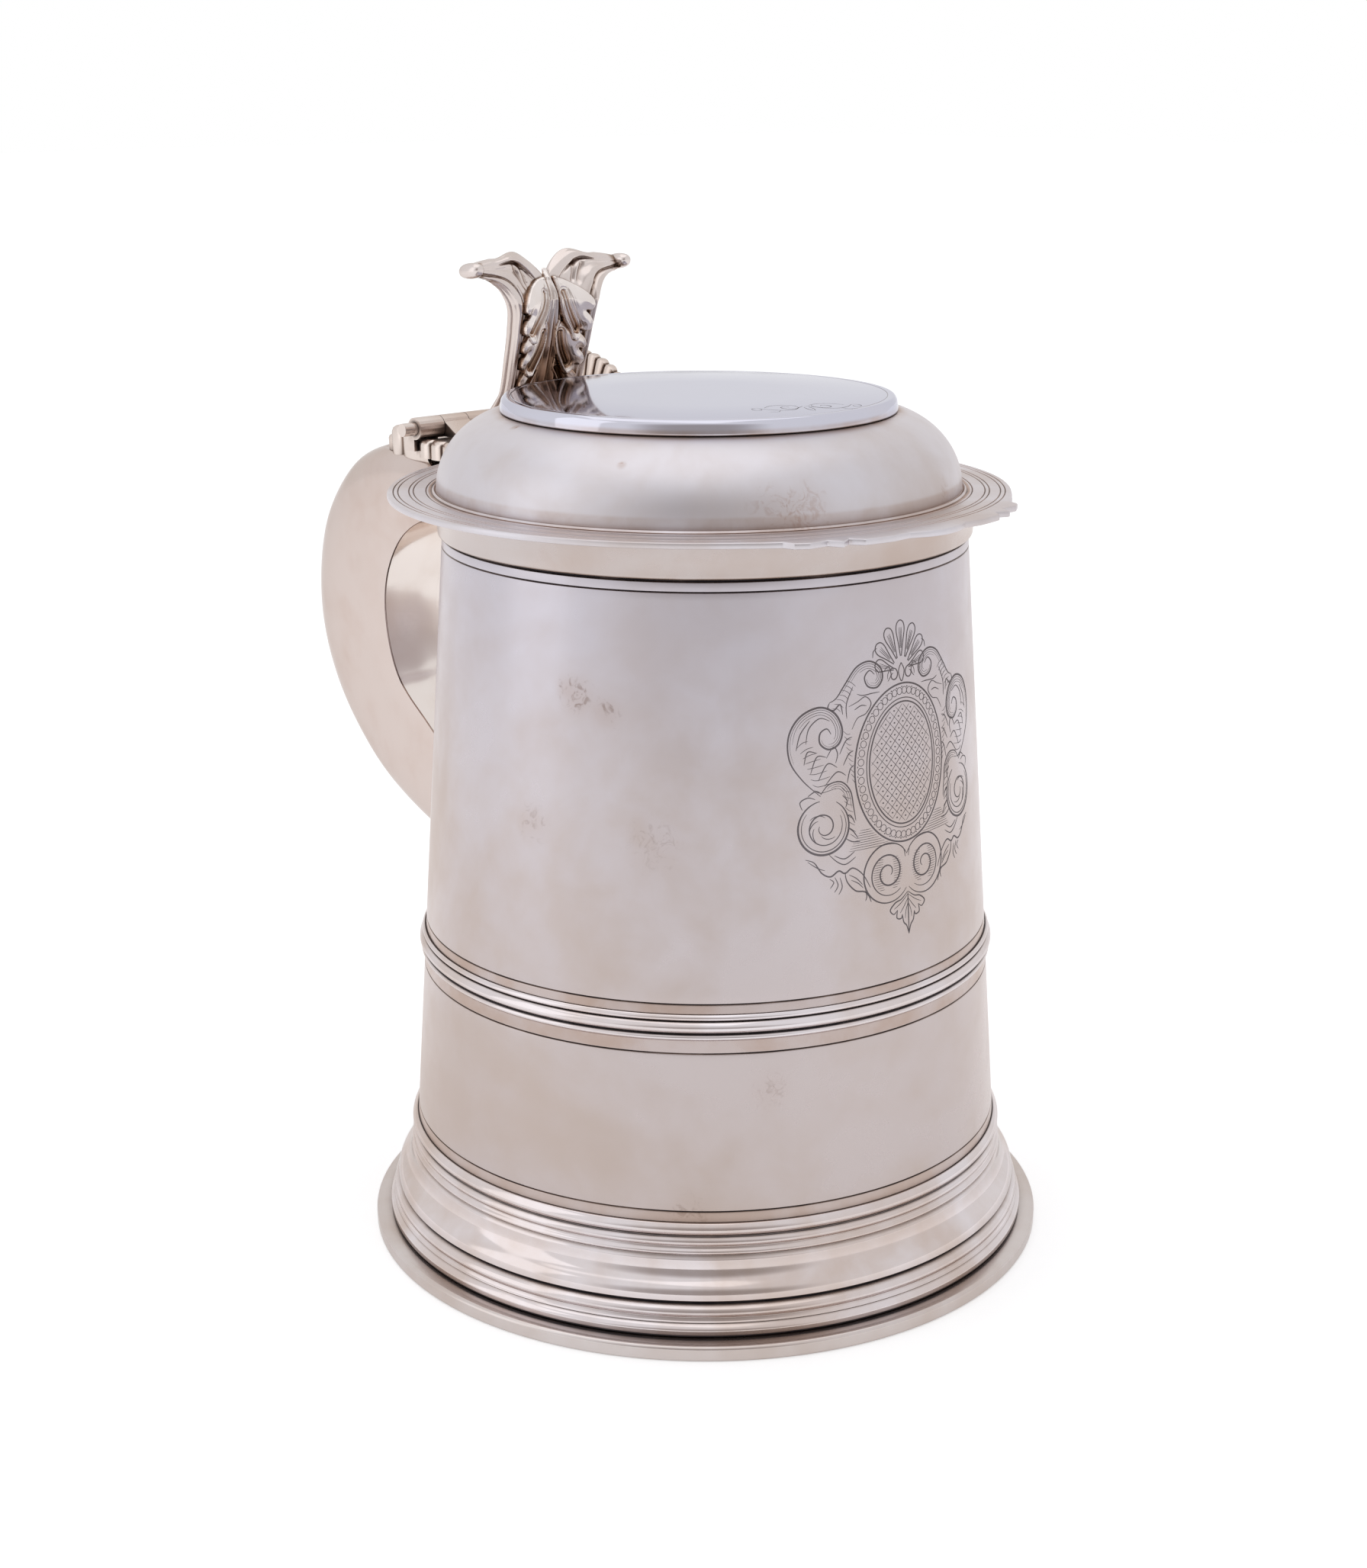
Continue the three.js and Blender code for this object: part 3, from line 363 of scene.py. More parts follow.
# Single stains: where, how wide, how strong
STAINS = [
    ((-18.1, 46.4, 114.6), 3.6, 0.8), ((-15.6, 47.2, 116.2), 2.2, 0.7), ((-23.1, 44.3, 112.5), 3.0, 0.8),
    ((-31.5, 40.7, 90.0), 6.0, 0.35),
    ((-10.5, 50.3, 91.4), 4.0, 0.4), ((-38.8, 40.6, 22.9), 5.0, 0.5), ((-46.8, 28.1, 46.3), 4.0, 0.35),
    ((30, -44, 100), 6.0, 0.5),
]

LID_STAINS = [((-43.0, 17.5, 146.4), 6.0, 0.5), ((-40.5, 22.5, 147.0), 5.0, 0.4),
    ((-43.2, -17.6, 144.7), 4.0, 0.3),
    ((8.5, 37.3, 156.8), 1.1, 2.2), ((-20.3, 37.9, 153.5), 0.9, 1.6)]

body_silver = silver(
    "body_silver", (194, 188, 193), (183, 168, 160), 0.27, edge=1.0, patches=0.85, hollows=0.3, brushed=0.15,
    stains=STAINS, low=True,
    bands=((57.8, 4.5, 0.62), (23.2, 1.3, 0.5), (139.5, 3.0, 0.3)),
)
lip_silver = silver("lip_silver", (191, 182, 180), (182, 165, 156), 0.24, edge=1.0, patches=0.9, hollows=0.2,
    brushed=0.2)
lid_silver = silver(
    "lid_silver", (206, 202, 207), (194, 183, 179), 0.38, edge=0.98, patches=0.85, hollows=0.25, brushed=0.2,
    bands=((157.6, 0.7, 0.8), (144.4, 1.3, 0.4)), stains=LID_STAINS, brown=(150, 108, 80),
)
disc_silver = silver(
    "disc_silver", (201, 200, 211), (198, 194, 203), 0.06, patches=0.4, hollows=0.15, ripple=0.12,
    bands=((157.9, 0.6, 0.6),), tint=(1.0, 1.0, 1.05),
)
# Brighter than the drum's silver, as a painted sheen for the bright reflections of the foot and the middle band;
# its dark navy in hollows is painted shade and reflection, with some grime.
foot_silver_painted_sheen = silver(
    "foot_silver_painted_sheen", (218, 211, 213), (192, 173, 161), 0.08, patches=0.8, hollows=0.9, ripple=0.25,
    dark=(38, 40, 48), brown=(120, 100, 88),
)
rim_silver = silver("rim_silver", (206, 198, 196), (186, 170, 160), 0.18, patches=0.7, hollows=0.15,
    brushed=0.1, ripple=0.25)
handle_silver = silver("handle_silver", (204, 190, 184), (186, 161, 148), 0.15, patches=0.9, ripple=0.6)
# Lighter than the handle's silver: a painted highlight for the bright reflection along the handle's inner strip.
strip_silver_painted_highlight = silver("strip_silver_painted_highlight", (228, 218, 212), (202, 180, 164), 0.11, edge=1.0, patches=0.8, ripple=0.9)
hinge_silver = silver("hinge_silver", (216, 204, 197), (190, 168, 154), 0.22, patches=0.7, hollows=0.5,
    ripple=0.3)
cast_silver = silver(
    "cast_silver", (216, 207, 204), (196, 178, 167), 0.18, patches=0.6, hollows=0.25, ripple=0.25,
    dark=(44, 38, 38), brown=(132, 104, 82),
)
leaf_silver = silver(
    "leaf_silver", (232, 225, 222), (210, 195, 186), 0.2, ripple=0.2,
    dark=(60, 43, 30), brown=(158, 116, 78),
)
inner_silver = silver("inner_silver", (206, 198, 193), (180, 164, 152), 0.4, patches=0.8, hollows=0.3,
    brushed=0.2, metal=0.45)

# ---------------------------------------------------------------- drum, bands and foot

drum_profile = [
    (drum_r(FLOOR_LOW), FLOOR_LOW),
    (drum_r(22), 22),
    *line(24.4),
    *plain(26, 52),
    *line(53.35),
    *line(62.2),
    *plain(64, 132),
    *line(133.4),
    # A fine groove under the lip band; its darkness paints the shade line beneath the band's lower edge.
    *line(135.28, 0.5, 0.26),
    (drum_r(LIP_Z), LIP_Z - 0.35),
    (drum_r(LIP_Z) - 0.35, LIP_Z),
    (LIP_R - WALL + 0.35, LIP_Z),
    (LIP_R - WALL, LIP_Z - 0.35),
    *((drum_r(z) - WALL, z) for z in (100, 40, 8, 4, FLOOR_TOP, FLOOR_LOW)),
]
drum = lathe("drum_wall", drum_profile, "tankard", body_silver, "body_drum", 360)
drum.data.materials.append(inner_silver)
for face in drum.data.polygons:
    if face.normal.x * face.center.x + face.normal.y * face.center.y < -0.5 * face.center.xy.length:
        face.material_index = 1

floor_edge = drum_r(FLOOR_LOW) - WALL - 0.1
lathe(
    "floor_plate",
    [(0.01, FLOOR_LOW), (floor_edge, FLOOR_LOW), (drum_r(FLOOR_TOP) - WALL - 0.1, FLOOR_TOP),
    (floor_edge * 0.8, 2.68), (floor_edge * 0.5, 2.85), (floor_edge * 0.2, 3.0), (0.01, 3.1)],
    "tankard", inner_silver, "bottom_plate", 200, closed=False,
)

low = LIP_Z - 6.2
lip_out = drum_r(LIP_Z) + 0.75 + 1.7
lip_curve = [
    (drum_r(low) + SOLDER + 0.75 + (lip_out - drum_r(low) - 0.8) * (t**2.2),
    low + 0.35 + (LIP_Z - 0.7 - low) * t) for t in np.linspace(0, 1, 14)
]
lathe(
    "lip_band",
    # The 0.8 on the band's underside is painted shade beneath its lower edge.
    [(drum_r(low) + SOLDER, low, 0.8), (drum_r(low) + 0.6, low, 0.8), *lip_curve, (lip_out - 0.3, LIP_Z),
    (drum_r(LIP_Z) + SOLDER, LIP_Z)],
    "tankard", lip_silver, "lip_moulding", 320, round_to=0.2,
)

band_h = BAND_HIGH - BAND_LOW
reeds = []
for begin, share, bulge in ((0, 0.26, 0.42), (0.26, 0.48, 0.8), (0.74, 0.26, 0.42)):
    start = BAND_LOW + begin * band_h
    reeds += half_round(drum_r(start) + 0.24, start, start + share * band_h, bulge)
lathe(
    "middle_band",
    [(drum_r(BAND_LOW) + SOLDER, BAND_LOW), *reeds, (drum_r(BAND_HIGH) + SOLDER, BAND_HIGH)],
    "tankard", foot_silver_painted_sheen, "mid_band", 320, round_to=0.05,
)

FOOT_STEP = 6.0
foot_low = RIM_H + 0.15
foot_h = FOOT_TOP - foot_low
foot_base = drum_r(FOOT_TOP)


def foot_at(share):
    return (foot_base + FOOT_STEP * share[0], foot_low + foot_h * share[1])


def foot_member(low_share, high_share, radius, bulge):
    r, lo = foot_at((radius, low_share))
    return half_round(r, lo, foot_at((0, high_share))[1], FOOT_STEP * bulge)


OGEE = [foot_at(s) for s in ((0.714, 0.321), (0.72, 0.5), (0.25, 0.42), (0.25, 0.658))]


def bezier(corners, t):
    shares = ((1 - t) ** 3, 3 * t * (1 - t) ** 2, 3 * t * t * (1 - t), t**3)
    return tuple(sum(share * corner[k] for share, corner in zip(shares, corners)) for k in (0, 1))


foot_profile = [
    (drum_r(FLOOR_LOW) + SOLDER, foot_low),
    foot_at((0.955, 0)),
    foot_at((0.985, 0.022)),
    *foot_member(0.012, 0.11, 0.875, 0.125)[4:],
    *foot_member(0.119, 0.14, 0.84, 0.03),
    *foot_member(0.171, 0.254, 0.786, 0.063),
    foot_at((0.59, 0.29)),
    *(bezier(OGEE, t) for t in np.linspace(0, 1, 28)),
    *foot_member(0.694, 0.756, 0.16, 0.07),
    *foot_member(0.777, 0.855, 0.125, 0.07),
    *foot_member(0.87, 0.995, 0.07, 0.125),
    (drum_r(FOOT_TOP) + SOLDER, FOOT_TOP),
]
lathe("foot_mouldings", foot_profile, "tankard", foot_silver_painted_sheen, "foot_moulding", 360,
    round_to=0.08)

ledge = RIM_R - 3.6
lathe(
    "foot_wire",
    [
        (ledge, 0), (RIM_R - 0.35, 0), (RIM_R, 0.35), (RIM_R, RIM_H - 0.6), (RIM_R - 0.45, RIM_H - 0.2),
        (RIM_R - 2.9, RIM_H), (drum_r(FLOOR_LOW) + SOLDER, RIM_H), (drum_r(FLOOR_LOW) + SOLDER, RIM_H - 1.3),
        (ledge - 0.65, RIM_H - 1.3),
    ],
    "tankard", rim_silver, "foot_rim", 360, round_to=0.35,
)

# ---------------------------------------------------------------- lid

FRONT = [
    (0, 1.063), (3, 1.057), (6.8, 1.036), (10.7, 1.051), (16.1, 1.057), (18.1, 1.027), (20, 1.061),
    (21.9, 1.026),
    (25.3, 1.05), (27.8, 1.043), (29.3, 1.016), (32.2, 1.012), (36, 1.004), (41, 1.0),
]


def flange_edge(away):
    return FLANGE_R * np.interp(np.abs(away), *zip(*FRONT), right=1.0)


def dome_curve(offset, steps):
    turn = np.linspace(0, math.pi / 2, steps + 1)
    return [(NECK_R + (DOME_R - NECK_R + offset) * math.cos(t),
        DOME_BASE + (DOME_RISE + offset) * math.sin(t)) for t in turn]


def lid_cover():
    front = np.linspace(-45, 45, 420)
    back = np.linspace(45, 315, 300)[1:-1]
    degrees = np.concatenate([front, back])
    away = (degrees + 180) % 360 - 180
    edge = flange_edge(away)
    cuts = (50.0, 52.3, 53.1, 55.1, 55.95)
    template = [(r, z, 0, 0) for r, z in reversed(dome_curve(0, 40))]
    # Darkness 0.9 and 0.2 here is painted shade in the inside corners at the dome's foot; the cuts below are
    # engraved.
    template += [(DOME_R + 0.15, DOME_BASE - 0.12, 0.9, 0), (DOME_R + 0.45, DOME_BASE + 0.05, 0, 0),
        (DOME_R + DOME_STEP_W, FLANGE_TOP + 0.05, 0.2, 0), (DOME_R + 0.8, FLANGE_TOP, 0.9, 0)]
    for c in cuts:
        template += [(c - 0.15, FLANGE_TOP, 0, 0), (c - 0.04, FLANGE_TOP - 0.13, 1, 0),
            (c + 0.04, FLANGE_TOP - 0.13, 1, 0), (c + 0.15, FLANGE_TOP, 0, 0)]
    template += [
        (-0.42, FLANGE_TOP, 0, 1), (-0.2, FLANGE_TOP - 0.05, 0, 1), (-0.06, FLANGE_TOP - 0.18, 0, 1),
        (0, FLANGE_TOP - 0.4, 0, 1),
        (0, FLANGE_LOW + 0.25, 0, 1), (-0.08, FLANGE_LOW + 0.07, 0, 1), (-0.25, FLANGE_LOW, 0, 1),
    ]
    hole = BEZEL_IN - SHIFT
    template += [(hole, FLANGE_LOW, 0, 0), (hole, FLANGE_TOP, 0, 0), (DOME_R - DOME_WALL, FLANGE_TOP, 0, 0)]
    template += [(r, z, 0, 0) for r, z in dome_curve(-DOME_WALL, 20)]
    sections, dark = [], []
    for d, e in zip(degrees, edge):
        a = math.radians(d)
        for r, z, k, at_edge in template:
            radius = r + e if at_edge else r
            sections.append((SHIFT - radius * math.cos(a), -radius * math.sin(a), z))
            dark.append(k)
    nv = len(template)
    faces = grid_faces(len(degrees), nv, True, False)
    centre_top, centre_low = len(sections), len(sections) + 1
    sections += [(SHIFT, 0, DOME_TOP), (SHIFT, 0, DOME_TOP - DOME_WALL)]
    dark += [0, 0]
    count = len(degrees)
    for i in range(count):
        k = (i + 1) % count
        faces.append((centre_top, i * nv, k * nv))
        faces.append((centre_low, k * nv + nv - 1, i * nv + nv - 1))
    return finish_mesh("lid_dome", sections, faces, "lid", lid_silver, "lid_cover", 30, dark)


lid_cover()

disc_low = DOME_TOP + SOLDER
disc_top = disc_low + DISC_T
lathe(
    "lid_disc",
    [
        # The 0.6 under the rim is painted shade under the disc's edge; the 0.9 darkens an engraved ring on its
        # top.
        (0.01, disc_low), (DISC_R - 0.9, disc_low), (DISC_R, disc_low - 0.25, 0.6), (DISC_R, disc_low + 0.15),
        (DISC_R - 0.25, disc_top - 0.7),
        (DISC_R - 0.75, disc_top), (DISC_R - 1.9, disc_top), (DISC_R - 2.0, disc_top - 0.1, 0.9),
        (DISC_R - 2.1, disc_top),
        (DISC_R * 0.5, disc_top), (0.01, disc_top),
    ],
    "lid", disc_silver, "lid_top_plate", 320, closed=False, shift=SHIFT, round_to=0.3,
)
high = FLANGE_LOW - SOLDER
lathe(
    "lid_bezel_ring",
    [(BEZEL_IN, high - 5.2), (BEZEL_OUT - 0.45, high - 5.2), (BEZEL_OUT, high - 4.3), (BEZEL_OUT, high),
    (BEZEL_IN, high)],
    "lid", lid_silver, "lid_bezel", 240,
)

# ---------------------------------------------------------------- handle

HANDLE_X = drum_r(BAND_LOW) - 4.5
HANDLE_Z = BAND_LOW
HANDLE_REACH, HANDLE_H, HANDLE_HALF = 67.87, LIP_Z + 2 - BAND_LOW, 16.0
OUTER = [
    (-0.12, 0.9), (0.024, 0.941), (0.244, 0.989), (0.479, 0.998), (0.715, 0.938), (0.921, 0.782),
    (1, 0.57), (0.943, 0.372), (0.759, 0.195), (0.509, 0.082), (0.215, 0.018), (-0.05, -0.01),
]
INNER = [
    (-0.12, 0.8), (0.006, 0.82), (0.185, 0.855), (0.354, 0.803), (0.465, 0.695), (0.501, 0.57),
    (0.465, 0.441), (0.347, 0.345), (0.207, 0.252), (0.119, 0.191), (0.082, 0.144), (0.04, 0.1),
]
WIDTHS = [1, 1, 1, 0.988, 0.938, 0.875, 0.813, 0.75, 0.7, 0.65, 0.606, 0.59]
SQUARE = [0.3, 0.3, 0.3, 0.36, 0.48, 0.6, 0.66, 0.66, 0.66, 0.66, 0.66, 0.66]


def handle_frames(count):
    t = np.linspace(0, 1, count)
    scale = np.array([HANDLE_REACH, HANDLE_H])
    origin = np.array([HANDLE_X, HANDLE_Z])
    inner = spline(INNER, t) * scale + origin
    outer = spline(OUTER, t) * scale + origin
    out = outer - inner
    depth = np.hypot(out[:, 0], out[:, 1])
    return inner, out / depth[:, None], depth, HANDLE_HALF * spline(WIDTHS, t)[:, 0], spline(SQUARE, t)[:, 0]


def keep_outside(points, gap=0.02, seat=True):
    """Presses the handle's ends on to the drum's side, and its top under the lid and the hinge plate."""
    p = points.reshape(-1, 3)
    z = np.clip(p[:, 2], 0, LIP_Z)
    limit = drum_r(z) + gap
    near = np.hypot(p[:, 0], p[:, 1]) < limit
    p[near, 0] = np.sqrt(np.maximum(limit[near] ** 2 - p[near, 1] ** 2, 1))
    if seat:
        flange = (np.hypot(p[:, 0] - SHIFT, p[:, 1]) < FLANGE_R + 0.6) & (p[:, 2] > FLANGE_LOW - 0.15)
        p[flange, 2] = FLANGE_LOW - 0.15
        cut = (p[:, 0] > HINGE_X + 0.05) & (p[:, 0] < HINGE_X + 19.4) & (p[:, 2] > HINGE_SEAT)
        p[cut, 2] = HINGE_SEAT
    return points


def close_ends(sections):
    """Adds ever smaller copies of both ends' outlines, so that each end can follow the drum's curve."""
    sections = np.array(sections)
    rings = []
    for end in (sections[0], sections[-1]):
        middle = end.mean(axis=0)
        rings.append([middle + share * (end - middle) for share in (0.02, 0.25, 0.5, 0.75)])
    return np.concatenate([rings[0], sections, rings[1][::-1]])


def handle():
    inner, out, depth, width, square = handle_frames(170)
    across = np.linspace(-1, 1, 14)[1:-1]
    arc = np.linspace(0, math.pi, 73)
    back, strip = [], []
    for i in range(len(depth)):
        c, s = np.cos(arc), np.sin(arc)
        side = width[i] * np.sign(c) * np.abs(c) ** square[i]
        lift = depth[i] * np.abs(s) ** square[i]
        lift[0] = lift[-1] = 0
        low = np.clip(1 - lift / 1.6, 0, 1)
        side = side - np.sign(side) * 0.8 * (1 - np.sqrt(1 - low * low))
        rim = [(width[i] - 1.0, -0.06), (width[i] - 1.15, 0.25)]
        under = [(share * rim[-1][0], rim[-1][1]) for share in across]
        outline = list(zip(side, lift)) + [(-a, b) for a, b in rim] + under + rim[::-1]
        back.append([(inner[i, 0] + out[i, 0] * b, a, inner[i, 1] + out[i, 1] * b) for a, b in outline])
        w = width[i] - 1.2
        dish = [(w, 0.3), (w, 0.02), (w * 0.8, 0.12), (w * 0.4, 0.22), (0, 0.25)]
        outline = dish + [(-a, b) for a, b in dish[-2::-1]] + [(-w, 1.1),
            *((share * w, 1.1) for share in across), (w, 1.1)]
        strip.append([(inner[i, 0] + out[i, 0] * b, a, inner[i, 1] + out[i, 1] * b) for a, b in outline])
    loft("handle_shell", keep_outside(close_ends(back)), "tankard", handle_silver,
        "handle_back", 50)
    loft("handle_strip", keep_outside(close_ends(strip), 0.01, False), "tankard", strip_silver_painted_highlight,
        "handle_inner", 40)


handle()

# ---------------------------------------------------------------- hinge

FLUTE_DEPTH = 0.9


def fluted_outline(from_x, to_x, y, pitch=3.7, depth=FLUTE_DEPTH, samples=14):
    count = round(abs(to_x - from_x) / pitch)
    points = []
    for i in range(count):
        for k in range(samples):
            u = k / samples
            deep = depth * max(0.0, 1 - math.sin(math.pi * u) ** 0.45) if u else depth
            x = from_x + (to_x - from_x) * (i + u) / count
            points.append((x, y - math.copysign(deep, y), deep / depth))
    return points


def lid_leaf():
    outer_x, inner_x, half = HINGE_X - 0.2, LIP_R - 1.9, 17.6
    outline = fluted_outline(outer_x, inner_x, half)
    outline += [(inner_x, y, 0) for y in np.linspace(half - 0.9, 0.9 - half, 25)]
    outline += fluted_outline(inner_x, outer_x, -half) + [(outer_x, 0.9 - half, 0)]
    edge = 1.3
    levels = [(LEAF_LOW, 1.0), (LEAF_TOP - edge, 1.0)]
    for k in range(1, 7):
        t = k / 6 * math.pi / 2
        levels.append((LEAF_TOP - edge + edge * math.sin(t), 1 - 0.075 * (1 - math.cos(t))))
    sections, dark = [], []
    for z, share in levels:
        for x, y, deep in outline:
            gap = (BARREL_R + 0.3) ** 2 - (x - HINGE_X) ** 2
            top = min(z, HINGE_Z - math.sqrt(gap)) if gap > 0 else z
            sections.append((x, y * share, max(top, LEAF_LOW)))
            # Painted shade in the flute recesses, below the rounded top.
            dark.append(max(0, deep * 1.5 - 0.4) if z < LEAF_TOP - 0.4 else 0)
    sections = np.array(sections).reshape(len(levels), len(outline), 3)
    seat_r = DOME_R - DOME_WALL / 2
    inside_dome = np.hypot(sections[..., 0] - SHIFT, sections[..., 1]) < seat_r
    on_dome = np.sqrt(np.maximum(seat_r**2 - sections[..., 1] ** 2, 0)) + SHIFT
    sections[..., 0] = np.where(inside_dome, on_dome, sections[..., 0])
    loft("lid_fluted_leaf", sections, "lid", hinge_silver, "lid_hinge_plate", 40, groove_and_shade=dark)


lid_leaf()

SHELL_ANGLES = [0, 30, 45, 56, 66, 76, 90]
SHELL_SHARES = [0, 0.1, 0.22, 0.42, 0.88, 1, 0.92]
SHELL_FLUTES, SHELL_LONG, SHELL_HALF = 19, 19.2, 15.0


def shell_edge(turn, inset):
    """A place of the fluted plate's outline, or a little inside it."""
    scallop = FLUTE_DEPTH * (1 - abs(math.sin(turn * SHELL_FLUTES / 2)) ** 0.5)
    c, s = math.cos(turn), math.sin(turn)
    return (
        HINGE_X + 0.2 + (SHELL_LONG - 0.2 - scallop - inset) * max(c, 0) ** 0.5,
        (SHELL_HALF - scallop - inset) * math.copysign(abs(s) ** 0.5, s),
    )


def handle_leaf():
    seat, bed_z = HINGE_SEAT, HINGE_SEAT + 1.75
    turns = np.linspace(-math.pi / 2, math.pi / 2, SHELL_FLUTES * 12 + 1)
    sections, dark = [], []
    for turn in turns:
        angle, ripple = abs(math.degrees(turn)), abs(math.sin(turn * SHELL_FLUTES / 2))
        share = np.interp(angle, SHELL_ANGLES, SHELL_SHARES)
        smooth = spline(SHELL_SHARES, np.interp(angle, SHELL_ANGLES, np.linspace(0, 1, 7)))[0, 0]
        top = seat + 2.4 + (5.9 - 2.4) * (0.5 * share + 0.5 * smooth)
        top -= 0.55 * (1 - ripple**0.7)
        ring = [
            (0.8, seat - 1.5), (0.1, seat - 0.3), (0, top - 0.85), (0.15, top - 0.4), (0.55, top - 0.1),
            (0.85, top),
            (1.2, top - 0.1), (1.6, top - 0.5), (1.7, top - 0.9), (2.2, seat + 2.0), (4.5, bed_z),
        ]
        for inset, z in ring:
            x, y = shell_edge(turn, inset)
            sections.append((x, y, z))
            # Painted shade in the flute valleys along the edge.
            dark.append(max(0, 1 - ripple**0.5 * 1.6) if inset < 1 else 0)
        sections += [(HINGE_X + 0.4, y * 0.2, bed_z), (HINGE_X + 0.4, y * 0.2, seat + 0.1)]
        dark += [0, 0]
    sections = np.array(sections).reshape(len(turns), -1, 3)
    bed = (sections[..., 0] < HINGE_X + 3.4) & (sections[..., 2] > bed_z)
    sections[..., 2] = np.where(bed, bed_z, sections[..., 2])
    loft("handle_shell_leaf", sections, "tankard", hinge_silver, "handle_hinge_plate", 40,
        groove_and_shade=dark)


handle_leaf()


def shell_head():
    flutes = 9
    steps = flutes * 14
    near = -HINGE_HALF - 2.2
    far = near - 1.1
    root = np.array([HINGE_X - 4.5, HINGE_Z - 9.2])
    sections, dark = [], []
    for i in range(steps + 1):
        turn = math.radians(-33 + 66 * i / steps + 6) + math.pi / 2
        wave = abs(math.sin(i / steps * flutes * math.pi)) ** 0.6
        rise = 0.55 * wave
        rim = 22.3 - 0.5 * (1 - wave)
        half = [(4.6, 0), (7, 0.3), (11, 0.7), (16, 1), (rim - 0.7, 1), (rim - 0.15, 0.5)]
        ring = [(r, near + rise * q) for r, q in half] + [(rim, (near + far) / 2)]
        for radius, y in ring + [(r, far - rise * q) for r, q in half[::-1]]:
            sections.append((root[0] + radius * math.cos(turn), y, root[1] + radius * math.sin(turn)))
            # Painted shade in the flute valleys, and darker towards the root: painted shade with brown tarnish.
            dark.append(max(0.28 * min(1, (20 - radius) / 8), 1 - wave * 1.5))
    sections = np.array(sections).reshape(steps + 1, -1, 3)
    loft("pin_shell", sections, "lid", hinge_silver, "pin_shell_head", 40, groove_and_shade=dark)


shell_head()

for name in ("handle_knuckle_near", "handle_knuckle_mid", "handle_knuckle_far", "lid_knuckle_near",
    "lid_knuckle_far", "hinge_pin"):
    node = nodes[name]
    node.data.materials.clear()
    node.data.materials.append(hinge_silver)
    bevel = node.modifiers.new("edge", "BEVEL")
    bevel.width = 0.00012
    bevel.segments = 2
    bevel.limit_method = "ANGLE"
    bevel.angle_limit = math.radians(40)

# ---------------------------------------------------------------- thumbpiece

THUMB_H, THUMB_HALF, THUMB_T, THUMB_FOOT = 36.4, 18.4, 4.0, 7.0
THUMB_REACH = HINGE_X - 17.1
FRONT_FACE = [(0, 1.06), (0.14, 1.01), (0.28, 0.952), (0.44, 0.915), (0.62, 0.881), (0.76, 0.862),
    (0.88, 0.876), (1, 0.92)]
THUMB_OUTER = [(0.5, 0), (0.49, 0.14), (0.485, 0.28), (0.5, 0.44), (0.515, 0.62), (0.55, 0.74), (0.66, 0.835),
    (0.82, 0.88), (0.99, 0.875)]
THUMB_INNER = [(0, 0), (0, 0.16), (0, 0.34), (0, 0.54), (0, 0.76), (0.05, 0.89), (0.34, 1), (0.65, 0.975),
    (0.97, 0.985)]


def thumb_front(z):
    up = (np.asarray(z, float) - THUMB_LOW) / THUMB_H
    at = np.interp(up, [a for a, _ in FRONT_FACE], np.linspace(0, 1, len(FRONT_FACE)))
    return THUMB_REACH * spline([b for _, b in FRONT_FACE], at.ravel())[:, 0].reshape(np.shape(up))


def dome_limit(z, gap=0.1):
    """How far out the dome and the disc reach at a height."""
    z = np.asarray(z, float)
    s = np.clip((z - DOME_BASE) / DOME_RISE, 0, 1)
    r = NECK_R + (DOME_R - NECK_R) * np.sqrt(np.maximum(1 - s * s, 0))
    r = np.where(z > DOME_TOP - 0.4, np.maximum(r * (z < DOME_TOP), DISC_R), r)
    return np.where(z > disc_top + gap, -99, r + gap)


def clear_of_dome(points):
    p = points.reshape(-1, 3)
    limit = dome_limit(p[:, 2])
    inside = (np.hypot(p[:, 0] - SHIFT, p[:, 1]) < limit) & (limit > 0)
    p[inside, 0] = np.sqrt(np.maximum(limit[inside] ** 2 - p[inside, 1] ** 2, 0)) + SHIFT
    return points


DISH = [(0, 1.5), (0.3, 2.6), (0.5, 2.2), (0.7, 2.2), (0.85, 2.6), (1, 1.0), (1.1, 0.6)]
SET_BACK = [(0, 0), (0.75, 0), (0.9, 1.2), (1, 1.5), (1.1, 1.6)]


def dish(y, z):
    """How far the hollow face of the thumbpiece lies behind its edges."""
    up = (np.asarray(z, float) - THUMB_LOW) / THUMB_H
    deep = np.interp(up, *zip(*DISH))
    back = np.interp(up, *zip(*SET_BACK))
    return deep * np.clip(1 - (np.abs(y) / 9.4) ** 2, 0, 1) + back


def cut_line(y, z, start, end, width, depth):
    """Depth of a round channel between two places of the face."""
    a, b = np.array(start), np.array(end)
    ab = b - a
    t = np.clip(((y - a[0]) * ab[0] + (z - a[1]) * ab[1]) / (ab @ ab), 0, 1)
    off = np.hypot(y - a[0] - t * ab[0], z - a[1] - t * ab[1])
    return depth * np.exp(-((off / width) ** 2)) * np.clip(np.sin(t * 0.9 * math.pi + 0.15) * 2, 0, 1)


def step_up(x, low, width):
    return np.clip((x - low) / width, 0, 1)


def step_down(x, high, width):
    return np.clip((high - x) / width, 0, 1)


def bell(x, centre, width):
    return np.exp(-(((x - centre) / width) ** 2))


def quarter_round(x):
    return 1 - np.sqrt(1 - (1 - x) ** 2)


def arch(x, width):
    return np.sqrt(np.clip(1 - ((x - width / 2) / (width / 2)) ** 2, 0, 1))


